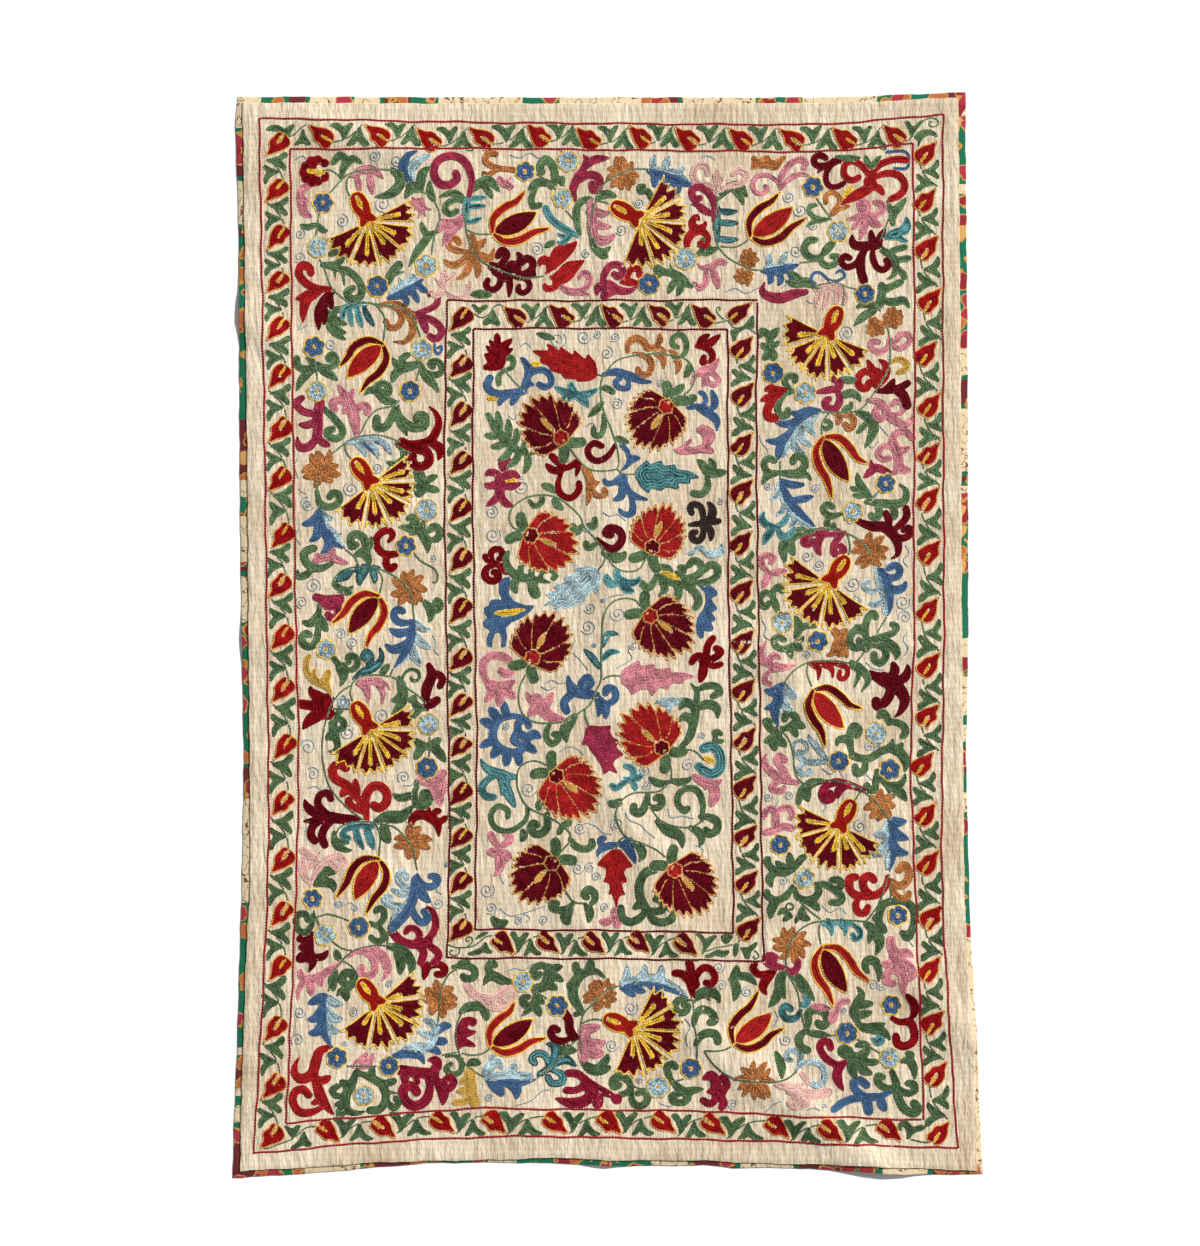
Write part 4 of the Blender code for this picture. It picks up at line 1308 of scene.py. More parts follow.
# %% The bands on both sides, upper part
UPPER_SIDES = """
ochre: 380,305 394,304 406,310 413,322 412,334 404,342 392,341 9p; 388,304 398,309 402,318 397,327 389,327
  386,321 8r
magenta: 400,307 410,312 419,317 9b; 417,316 428,318 438,324 442,332 436,339 430,336 9r; 420,318 425,326
  427,334 8p; 416,313 427,310 437,304 437,296 430,294 8r
leaf_green: 343,308 333,312 331,324 337,334 347,340 10p; 333,316 341,322 348,325 7p; 332,322 340,331 348,333
  7p
leaf_green: 316,363 307,369 298,366 297,358 9r; 316,364 309,359 305,357 6p; 316,368 308,373 301,381 297,391
  9p; 317,363 325,367 333,366 337,360 333,354 328,357 330,360 8r; 318,366 326,372 333,376 338,381 9p
magenta: 320,403 318,414 318,428 317,438 10s; 320,406 314,413 303,411 296,403 302,398 9r; 317,420 308,425
  298,424 8p; 317,436 310,446 300,447 297,436 9p; 318,438 324,443 331,446 8p
leaf_green: 321,405 329,413 336,420 343,430 339,438 330,437 327,431 333,429 9r
pink: 357,434 355,420 351,406 344,394 338,384 12p; 350,406 341,400 333,402 335,409 10r; 350,404 345,410
  343,414 8p; 349,400 352,393 353,388 7p; 355,414 360,406 367,406 368,413 9r
leaf_green: 419,363 407,367 397,364 392,357 10p; 405,366 402,358 408,355 8r; 406,368 396,373 392,383 9p;
  420,363 426,376 434,384 439,393 9p; 425,371 437,375 443,368 437,361 430,363 433,367 8r
blue: 437,340 434,348 438,354 442,350 441,346 437,348 3s
leaf_green: 396,403 385,399 378,391 370,390 364,396 10p; 379,393 377,386 382,383 389,386 389,393 385,391 8r
leaf_green: 396,404 392,417 385,427 377,427 377,418 10r; 396,406 400,422 408,436 8p; 396,404 400,418 412,427
  424,426 425,417 419,415 417,419 11r
deep_red: 401,442 415,444 429,441 435,434 439,423 436,413 429,406 9p; 430,442 439,447 441,453 438,460 10p;
  418,446 427,451 429,462 419,467 412,461 413,456 11r; 402,442 412,447 424,450 10s
leaf_green: 397,443 404,449 405,458 398,466 387,469 10p; 402,460 394,464 386,461 7p
pale_blue: 346,443 358,439 372,438 386,441 8p; 354,441 362,448 367,457 7p; 380,440 387,446 392,455 8p;
  366,440 376,450 379,460 6p
blue: 362,441 371,447 379,457 7p; 372,439 382,443 387,449 6p
leaf_green: 427,490 420,481 414,468 9p; 426,487 419,494 417,486 9r; 424,484 430,479 438,475 8p; 427,487
  433,489 440,491 8p; 420,473 424,484 9s
leaf_green: 317,490 320,503 330,507 339,502 339,494 332,493 330,497 9r
leaf_green: 768,358 770,345 769,335 762,331 760,335 9r; 770,340 774,333 780,328 9p; 770,350 764,346 761,342
  7p; 770,348 776,344 780,341 7p; 770,350 766,357 762,359 9p; 771,350 774,356 773,361 9p
red: 785,390 776,390 768,388 765,392 9p; 783,391 774,396 764,399 760,401 10p; 776,394 770,404 767,412
  769,417 775,418 9s
leaf_green: 791,390 785,382 788,376 795,376 795,381 8r; 795,391 784,394 778,405 780,415 787,415 788,410 9r
magenta: 818,392 828,390 838,388 840,382 834,379 9r; 836,388 840,398 836,408 828,408 825,402 829,399 9r
leaf_green: 839,378 848,380 858,380 8l; 838,398 850,393 858,396 861,402 9p; 843,411 850,407 852,401 8p
red: 877,387 876,377 866,371 858,378 860,387 867,388 869,382 9r; 877,386 874,373 867,359 9p; 877,387 885,376
  886,365 878,359 9p; 877,382 877,374 13s
maroon: 877,391 891,390 901,387 908,383 9r; 884,390 890,386 895,378 8p; 898,390 904,396 907,405 10s
ochre_yellow: 892,362 898,359 906,362 906,369 899,372 8r
pink: 889,338 888,347 879,352 871,347 872,341 879,342 7r
pink: 892,338 893,346 902,348 910,341 908,334 899,335 897,341 7r
pink: 868,400 877,401 884,406 888,414 896,421 907,424 916,412 9p; 887,415 880,419 875,414 877,409 9r;
  893,414 902,412 903,404 896,401 892,405 7r
ochre: 833,413 842,414 852,416 854,424 849,429 845,424 8r; 838,414 839,420 837,426 7p
leaf_green: 858,412 870,418 874,427 871,437 865,448 11p; 868,422 862,428 856,434 7p
leaf_green: 822,426 826,429 831,426 829,421 825,421 6r
pink: 892,446 894,435 905,431 913,438 9r; 893,442 898,455 899,466 10s; 893,447 884,446 878,453 882,459
  890,458 8r; 896,450 904,450 911,447 8p; 899,465 905,470 911,469 9p; 899,462 897,470 891,475 8p
magenta: 892,474 879,468 872,466 871,459 8p; 877,468 870,472 864,478 8p
leaf_green: 871,499 860,484 857,472 9p; 863,490 855,489 849,486 6p; 866,495 859,496 852,494 6p
leaf_green: 866,502 880,503 895,504 905,500 906,490 898,483 9p
leaf_green: 780,472 768,472 764,463 769,458 775,461 8r; 779,473 768,475 762,485 8p; 781,472 794,474 805,466
  803,457 795,457 793,462 9r; 781,473 797,474 807,475 812,481 9p
blue: 820,411 808,411 797,414 789,410 9p; 820,411 806,416 796,424 788,435 783,447 780,461 6p; 802,417
  788,424 773,421 8p; 790,432 778,441 765,440 8p; 785,440 779,450 779,460 8p
pale_blue: 819,413 811,420 810,428 817,436 9p; 808,419 801,430 804,440 813,447 9p; 798,428 793,440 798,450
  806,452 9p; 789,438 785,450 784,458 8p; 812,416 800,424 791,436 786,448 9s
blue: 781,480 789,484 798,485 806,484 8p; 781,482 789,500 800,513 816,527 9p; 792,500 803,499 814,496 8p
pale_blue: 780,482 778,494 769,500 7p; 782,490 787,505 798,518 810,526 8s; 786,504 782,511 776,516 7p;
  796,516 794,522 790,528 7p
"""
print("upper sides:", work(UPPER_SIDES, "field"))

# %% The middle, upper part
UPPER_MIDDLE = """
deep_red: 484,370 482,366 488,362 486,359 483,352 489,353 484,343 491,347 487,337 494,342 494,334 498,332
  501,337 501,343 505,340 513,337 512,343 508,348 515,347 511,353 506,357 506,362 503,369 495,371 o
leaf_green: 505,370 511,368 514,362 511,357 506,359 7r; 504,370 499,376 499,384 7r; 536,333 546,336 556,339
  7l
leaf_green: 673,357 680,357 686,351 686,340 680,334 673,338 673,345 678,347 7r; 690,361 689,370 685,378 8l;
  671,397 678,390 685,384 9l; 689,401 693,398 9s
red: 598,372 596,363 588,353 585,359 574,349 573,355 559,345 560,351 545,341 549,350 530,350 541,357 539,362
  549,366 551,371 562,374 564,379 576,379 578,382 590,381 596,378 o
yellow: 534,364 538,364 6s
blue: 522,358 527,365 529,374 8r; 524,389 525,382 530,374 538,370 546,371 551,377 551,384 545,387 539,384
  8r; 524,389 527,380 530,368 8s; 524,386 530,384 535,385 6p
blue: 490,378 487,385 491,391 499,394 510,393 524,391 8s; 514,392 503,397 499,406 9p; 520,392 515,398
  511,406 8p
yellow: 490,398 496,398 6s
teal: 576,394 566,392 554,386 8p; 576,394 572,388 571,381 8p; 576,394 588,394 599,388 8p; 574,394 584,400
  589,408 9p; 574,394 566,398 10s
leaf_green: 601,388 607,388 613,392 8r
blue: 604,374 616,372 630,376 642,381 654,382 9p; 628,378 628,388 618,387 616,381 620,379 7r
ochre: 628,352 628,344 636,338 644,342 648,348 658,347 669,352 8p; 655,348 660,340 659,332 7p
ochre: 634,353 646,356 652,364 648,374 640,374 638,369 8r; 654,352 663,358 664,369 7p; 662,352 674,354
  679,364 676,375 8p
blue: 689,407 697,406 706,408 6s; 702,407 706,400 704,394 700,392 6r; 711,410 715,404 714,396 711,389 8p;
  698,408 708,413 717,420 717,431 9p; 707,410 8s
pink: 694,376 704,370 712,368 720,357 9p; 704,372 714,374 719,380 715,385 710,383 7r; 704,373 706,380
  703,387 8p; 694,378 690,386 7p
deep_red: 697,346 706,345 714,340 721,334 9p; 700,347 710,350 713,357 709,364 703,362 704,357 8r; 698,344
  703,338 711,334 7p
leaf_green: 488,414 496,428 506,440 522,452 539,453 9p; 500,432 499,420 497,410 8p; 508,440 509,428 508,418
  8p; 514,445 517,436 516,427 8p; 526,451 524,445 528,440 6p; 500,434 492,436 484,434 8p; 507,442 498,446
  490,446 8p; 512,446 506,456 497,460 8p; 520,450 516,460 507,468 8p; 528,453 528,464 524,474 8p
ochre_yellow: 492,416 500,430 512,443 528,451 2s
maroon: 616,444 608,456 598,461 590,457 588,449 594,443 602,446 8r
leaf_green: 604,414 604,428 600,436 594,434 594,428 7r; 603,403 596,410 588,417 8p; 614,436 622,440 630,443
  7l
deep_red: 560,474 562,466 556,460 552,456 9r; 562,470 553,470 545,463 8p; 562,470 571,466 578,462 578,470
  575,478 7p; 561,474 558,484 561,494 571,498 579,490 579,483 8r
ochre: 584,467 590,478 590,492 587,506 9p; 589,478 594,484 600,481 7p; 590,488 598,496 606,494 604,489 7r
blue: 618,445 621,442 626,445 630,450 631,455 638,455 642,458 638,461 632,464 628,468 622,472 620,470
  625,465 627,459 625,452 621,448 o
blue: 620,473 628,473 628,482 632,490 640,495 650,499 648,501 635,500 637,507 636,514 631,518 624,517
  619,513 617,507 621,508 625,512 629,511 630,505 629,498 627,493 624,500 617,502 611,500 618,494 619,485
  615,485 609,487 604,485 602,480 604,476 607,480 611,481 616,477 o
teal: 634,474 638,467 648,459 650,464 662,460 664,466 676,464 677,469 690,471 702,478 690,479 692,484
  678,483 680,490 666,487 662,491 651,488 649,494 641,487 o
magenta: 503,470 502,462 508,460 506,467 9r; 500,478 500,496 10s; 500,474 490,472 485,476 8p; 500,482
  490,486 484,483 8p; 500,478 512,474 521,478 9p; 502,486 514,486 522,482 8p; 500,494 492,502 486,506 8p;
  500,494 506,503 514,506 8p
yellow: 502,479 510,480 518,480 5l
leaf_green: 541,484 549,487 557,493 8l; 529,500 535,506 542,502 542,497 7r; 553,497 557,504 564,510 8l
pink: 671,449 678,454 688,455 700,453 715,454 714,449 710,446 715,440 716,433 711,427 702,424 696,428
  697,433 701,434 704,438 702,444 694,447 688,446 694,438 690,438 684,444 678,448 o
leaf_green: 709,475 718,473 728,472 9p; 709,475 704,466 697,459 9p; 711,473 713,465 709,457 8p; 707,477
  708,486 702,494 693,493 9r
"""
print("upper middle:", work(UPPER_MIDDLE, "panel"))

# %% The bands on both sides, from the second carnations to the third tulips
MIDDLE_SIDES = """
blue: 319,510 316,518 309,523 301,524 9p; 318,516 319,528 316,537 309,541 10p; 322,528 330,540 326,550
  321,553 11p; 320,512 322,526 330,540 345,549 8p
pale_blue: 320,510 326,517 335,519 7p; 322,520 330,530 338,535 343,532 8p; 326,530 336,541 347,550 9p
pink: 331,545 332,556 330,560 8p; 347,563 338,560 331,557 320,559 316,560 318,556 9r
leaf_green: 332,563 322,568 312,567 305,560 305,552 314,548 10r; 312,569 306,575 298,576 298,569 8p
leaf_green: 356,555 364,552 368,558 371,565 10p; 362,554 366,548 364,538 357,534 351,537 352,546 356,545
  10r; 362,552 369,546 372,536 8p
deep_red: 389,541 393,536 391,531 384,531 377,538 378,548 385,554 396,554 9r; 388,556 386,563 390,569
  395,566 9r
leaf_green: 422,527 412,529 404,527 398,527 8p; 408,527 416,522 414,517 409,518 9r
leaf_green: 423,523 422,532 427,542 428,553 10p; 410,534 418,532 422,530 5p; 428,541 438,538 440,530 434,526
  430,530 9r
stem: 413,551 418,558 426,564 434,568 438,576 436,583 432,581 2s
teal: 340,578 348,571 358,568 368,567 378,569 7s; 344,574 339,578 337,583 7p; 352,571 345,578 341,581 7p;
  360,570 360,580 360,586 8p; 368,570 362,578 361,583 6p; 372,570 375,578 374,584 7p
leaf_green: 335,582 340,589 348,590 354,585 8p; 340,590 348,593 354,592 6p
magenta: 316,597 326,599 341,598 8s; 322,600 330,606 337,603 340,600 9s; 338,600 338,608 338,615 331,618
  328,614 9r; 325,604 326,611 7p
leaf_green: 319,612 313,622 306,623 302,620 9p; 319,616 323,624 328,632 10p; 318,620 318,634 314,645 306,646
  302,638 306,633 310,635 9r; 320,602 319,615 5s
blue: 413,621 404,623 396,620 394,613 398,609 403,611 9r; 412,630 402,633 395,632 389,628 9p; 410,640
  402,647 392,649 385,643 10p; 413,622 411,638 404,654 394,668 9p
pale_blue: 415,620 421,628 432,630 8p; 413,632 422,643 432,649 9p; 411,642 414,654 421,666 10p; 410,644
  405,656 396,666 9p
ochre_yellow: 313,654 308,653 303,660 303,669 306,677 312,684 320,687 327,691 333,699 332,690 330,682
  332,672 330,668 325,670 323,676 319,679 316,673 318,667 313,668 311,673 309,664 o
leaf_green: 333,657 339,664 343,669 6s; 342,668 344,676 341,686 11b; 344,670 354,669 358,662 355,656 349,656
  349,662 8r
teal: 354,679 362,672 372,669 380,662 382,654 379,646 8p; 366,669 370,662 372,656 367,651 363,656 367,660
  7r; 372,665 9s
leaf_green: 381,675 385,669 390,664 8p
leaf_green: 402,682 404,674 411,669 419,672 419,679 413,681 411,677 4r
leaf_green: 424,601 430,608 431,616 429,623 9p; 430,611 438,610 441,604 437,600 435,604 8r
leaf_green: 843,513 834,516 827,514 823,508 828,504 833,507 8r; 829,516 827,523 830,528 834,525 8r
teal: 774,526 766,524 762,517 765,511 8p; 776,527 785,521 789,511 7p; 774,528 768,535 763,545 9p; 778,528
  782,536 790,535 794,527 791,526 8p
leaf_green: 812,531 800,532 790,538 783,548 785,563 12p; 790,542 792,550 794,556 9p
magenta: 846,533 832,531 816,532 806,536 804,543 810,544 812,541 9r; 824,534 818,542 818,550 822,556 9p;
  843,534 835,543 834,552 840,556 844,550 841,546 9r; 820,532 836,532 10s
pink: 770,573 763,566 761,558 768,555 774,558 771,562 8r; 770,573 766,580 763,589 9p; 786,571 777,572
  769,574 8p
leaf_green: 778,611 775,602 771,595 8p; 773,596 766,592 761,597 761,604 766,607 769,603 8r; 774,598 774,590
  780,586 782,591 8r
maroon: 858,521 871,526 884,527 893,534 898,544 898,554 891,559 11p; 888,528 889,520 886,513 9r; 893,530
  901,524 907,516 906,508 9r; 896,536 904,538 911,533 909,528 904,530 9r
leaf_green: 876,503 880,512 876,518 871,515 9r; 890,503 895,512 894,517 9r
blue: 879,566 884,574 890,578 898,576 900,569 895,565 889,568 9r; 888,586 896,590 904,587 906,580 9p;
  878,564 886,580 890,596 890,608 887,617 9p
pale_blue: 877,566 878,576 880,586 7s; 882,586 874,591 866,589 864,584 869,582 7r; 884,600 876,604 867,603
  7p; 880,580 884,596 886,612 7s
leaf_green: 868,642 865,630 868,618 873,613 876,617 9r; 866,632 860,628 854,625 8p; 866,634 856,630 850,637
  851,645 857,648 861,644 859,640 9r; 872,638 883,636 893,633 897,627 892,624 8r; 880,640 890,644 897,652
  896,660 10p; 872,644 884,648 886,656 881,663 875,660 874,654 9r; 868,643 12s; 877,641 11s; 866,648 9s
leaf_green: 796,637 799,628 797,620 795,615 9p; 797,632 805,626 816,625 8r; 792,645 783,649 775,645 774,639
  780,637 784,640 8r; 792,644 790,652 793,659 8p; 796,642 799,648 803,650 9p; 797,640 802,641 803,637 5r
pink: 774,667 785,667 797,665 9b; 774,668 763,660 761,651 767,640 8p; 770,664 771,657 776,655 782,660 7p;
  773,669 766,675 765,681 771,684 7r
ochre: 831,628 835,627 840,630 844,628 849,628 848,634 846,638 848,644 849,652 849,659 844,656 839,658
  836,655 832,657 824,656 831,650 832,643 835,638 831,633 o
red: 811,665 824,664 836,664 844,667 4s; 813,664 819,669 818,681 7b; 825,664 832,669 833,679 7b; 838,664
  846,666 848,673 844,679 839,677 840,671 6r
leaf_green: 852,664 859,669 858,678 854,688 8b; 858,667 866,674 868,682 861,692 9b
"""
print("middle sides:", work(MIDDLE_SIDES, "field"))

# %% The middle, between the red palmettes
MIDDLE_MIDDLE = """
leaf_green: 583,525 577,532 573,526 9r; 588,524 594,527 595,519 8r; 597,543 589,548 586,543 8r
maroon: 597,539 604,545 614,549 622,540 620,531 610,528 606,533 611,535 10r
leaf_green: 604,552 614,557 622,557 626,551 11p
teal: 618,583 611,584 607,578 607,573 9p; 619,581 617,574 616,567 8p; 620,578 630,583 639,580 639,575 8p;
  619,582 627,589 635,592 9p
pale_blue: 599,569 590,565 574,568 576,573 562,577 566,581 552,586 557,590 544,594 551,598 542,607 553,604
  555,614 562,607 568,610 576,604 583,605 586,597 593,590 598,596 600,585 602,575 o
leaf_green: 508,552 506,560 510,570 522,577 540,580 552,583 9p; 520,576 521,567 9r; 531,578 532,570 9r;
  541,578 542,571 550,569 556,573 554,578 8r; 520,577 514,584 517,594 9p; 533,580 533,588 536,594 13r
deep_red: 507,570 499,565 492,562 9b; 493,562 491,553 495,549 501,550 503,556 499,559 8r; 494,561 488,560
  485,556 8r; 495,565 487,568 485,576 491,581 498,579 498,573 494,572 9r
yellow: 496,613 508,613 526,609 7p
blue: 536,605 525,605 514,601 509,594 509,585 511,577 504,577 499,583 499,592 502,600 496,599 490,600
  489,606 484,607 484,613 488,617 483,621 484,627 490,630 487,638 487,646 493,648 492,641 495,634 499,632
  502,638 501,648 506,647 507,636 506,628 512,622 520,619 529,613 o
yellow: 660,571 670,575 681,580 6l
leaf_green: 656,574 668,581 684,584 694,591 699,600 696,607 10r; 676,583 679,590 678,597 10r; 660,580
  665,588 662,595 9r; 656,577 652,585 647,588 642,583 9r; 680,578 692,577 701,572 701,564 694,560 689,565
  9r; 692,582 706,582 716,577 718,568 711,564 706,569 9r; 658,566 668,568 674,573 7p; 676,572 682,574
  684,568 680,567 8r; 684,580 692,584 8s
blue: 692,581 700,583 708,583 714,588 718,592 717,596 711,598 714,603 718,608 716,611 711,612 716,618
  715,622 711,622 714,628 713,631 709,632 704,630 704,638 701,639 697,634 696,625 698,616 703,610 706,601
  705,592 700,587 o
black: 704,523 712,522 719,521 8r; 704,523 695,524 687,525 6p; 703,523 703,513 700,506 693,504 690,508
  692,513 8r; 705,521 712,516 712,507 707,501 9p; 703,525 703,535 699,541 693,539 692,533 696,532 8r;
  705,525 711,531 711,542 8p; 704,523 11s
pale_blue: 686,553 693,549 697,545 702,545 706,549 713,551 719,548 722,541 724,546 725,555 712,559 706,557
  702,552 698,550 694,555 690,556 o
deep_red: 703,666 706,656 708,645 713,638 9r; 706,660 714,658 721,652 716,648 9r; 706,662 714,666 721,664
  8r; 704,662 703,672 700,683 10p; 702,664 701,656 695,657 692,662 9r
teal: 600,668 593,658 583,648 7p; 603,660 610,652 621,652 7p; 603,646 608,634 620,634 7p
"""
print("between the palmettes:", work(MIDDLE_MIDDLE, "panel"))

# %% The bands on both sides, round the third carnations
LOWER_SIDES = """
pink: 354,684 360,678 370,677 380,677 388,683 391,688 392,694 388,688 384,684 386,694 383,706 381,704
  381,694 376,686 370,684 371,692 370,702 367,705 366,698 363,690 358,686 o
leaf_green: 399,678 403,690 402,702 392,714 11p; 402,694 397,699 391,701 8p
maroon: 429,665 432,675 427,688 426,700 428,711 11p; 431,678 438,674 443,679 440,686 9r; 427,706 433,703
  437,700 11r
deep_red: 330,706 320,698 312,692 310,686 12p; 330,706 318,706 308,705 301,704 12r; 330,708 320,714 310,720
  303,729 13p; 328,700 324,706 328,713 14s; 318,700 318,712 12s
pale_blue: 343,696 349,701 346,707 340,707 338,700 342,697 3s; 343,702 3s
leaf_green: 342,709 335,718 333,726 336,738 338,746 333,751 327,751 9p; 334,730 343,728 344,722 341,719 8r;
  334,732 329,737 326,739 9p
leaf_green: 426,709 418,706 412,700 414,698 9r; 420,708 414,714 412,720 9p
leaf_green: 429,746 421,745 415,738 9p; 424,746 419,752 415,760 9p; 431,746 436,742 441,738 9p; 431,746
  438,751 446,762 10p; 424,746 436,746 8s
pink: 421,779 432,783 441,780 10s; 438,777 443,773 9s; 432,784 438,794 441,806 12p; 441,778 443,790 9s
leaf_green: 415,793 406,797 398,797 393,793 9p; 415,790 416,802 422,806 429,801 429,794 424,793 423,798 10r;
  418,780 415,792 6s
deep_red: 411,825 413,818 422,814 432,818 438,826 439,837 11p; 418,816 424,810 428,809 8r; 432,818 436,811
  439,811 8r; 436,824 443,820 445,818 8r
red: 367,820 366,808 366,796 372,787 380,786 387,793 386,803 379,808 374,805 11r; 364,806 356,796 348,786
  335,778 333,768 340,764 346,768 11r; 358,796 356,786 355,778 8p; 350,788 344,792 341,797 9p; 364,812
  357,808 350,806 349,800 10r
maroon: 360,819 343,819 329,817 316,820 303,821 11p; 326,816 314,812 307,806 305,799 10p; 334,817 325,812
  318,804 320,795 328,793 331,799 9r; 322,820 313,826 311,835 315,841 10r; 334,820 326,826 322,836 325,845
  10r
leaf_green: 376,822 388,817 402,816 414,805 13p; 384,825 385,834 390,843 12p
teal: 352,828 345,830 343,836 349,838 8r; 356,827 358,838 364,850 8p; 366,826 370,838 375,850 9p; 350,827
  362,825 372,826 7s
leaf_green: 334,832 336,844 346,850 353,850 8p; 336,842 344,842 350,843 7p
blue: 783,684 773,692 764,689 10p; 780,690 777,704 764,709 10p; 781,688 776,704 775,716 779,727 9p
pale_blue: 783,684 788,692 797,697 11p; 781,694 784,704 793,711 10p; 781,690 779,706 779,718 8p
leaf_green: 780,730 790,726 797,720 793,714 786,714 785,719 9r; 790,726 798,724 806,728 9p; 790,726 795,732
  797,738 8p; 778,734 770,728 766,721 770,722 9r; 776,736 769,740 764,742 9p; 776,736 774,744 776,751 10p;
  776,736 782,742 787,747 9p; 779,730 776,738 10s
pink: 798,783 786,780 774,774 765,764 765,756 768,753 9p; 790,778 782,768 777,760 780,756 785,760 9r;
  784,780 774,784 772,789 780,791 784,788 8r
pale_blue: 795,757 793,748 797,741 804,741 808,748 804,753 799,750 4s
pale_blue: 827,760 815,762 805,760 798,754 7s; 826,758 818,748 810,738 808,733 7p; 806,762 799,768 802,774
  809,773 810,770 7r
leaf_green: 822,781 812,783 804,789 799,800 798,808 10p; 808,787 807,796 809,802 9p
wine: 864,790 850,785 836,782 826,786 822,794 826,800 832,798 830,793 10r; 846,786 839,790 838,799 9p
leaf_green: 852,754 850,744 850,734 854,726 859,730 857,735 10r; 850,746 846,739 838,740 837,747 8p
leaf_green: 852,755 860,758 870,758 880,752 889,748 8s; 866,760 864,770 857,773 855,766 9r; 888,750 898,748
  904,742 8p; 886,751 892,744 893,738 7p; 889,749 901,753 906,763 905,772 10p
leaf_green: 877,770 876,780 874,790 866,788 867,785 9r; 879,776 888,784 897,786 904,780 905,773 9p; 892,786
  900,792 907,801 10p; 886,784 891,790 894,799 8p
leaf_green: 889,724 887,716 882,712 880,716 9r; 888,722 896,722 904,726 906,732 903,736 9r
maroon: 868,673 880,678 890,682 900,690 905,700 901,711 895,717 13p; 890,684 890,694 885,702 878,706 876,701
  12r; 890,680 895,670 892,661 10p; 892,682 904,678 908,670 907,664 10p; 884,679 894,684 15s
pink: 765,818 766,811 771,808 777,812 8r; 776,812 782,808 790,808 793,814 791,818 8r; 776,812 776,822
  776,828 8s; 766,832 776,830 784,826 792,828 8s
blue: 889,818 897,822 907,821 10p; 891,824 896,834 909,839 11p; 891,838 896,850 909,854 11p; 889,820 893,838
  893,858 889,873 7p
pale_blue: 889,822 886,832 874,834 12p; 891,836 884,848 870,856 13p; 891,850 889,862 887,870 9p
"""
print("lower sides:", work(LOWER_SIDES, "field"))

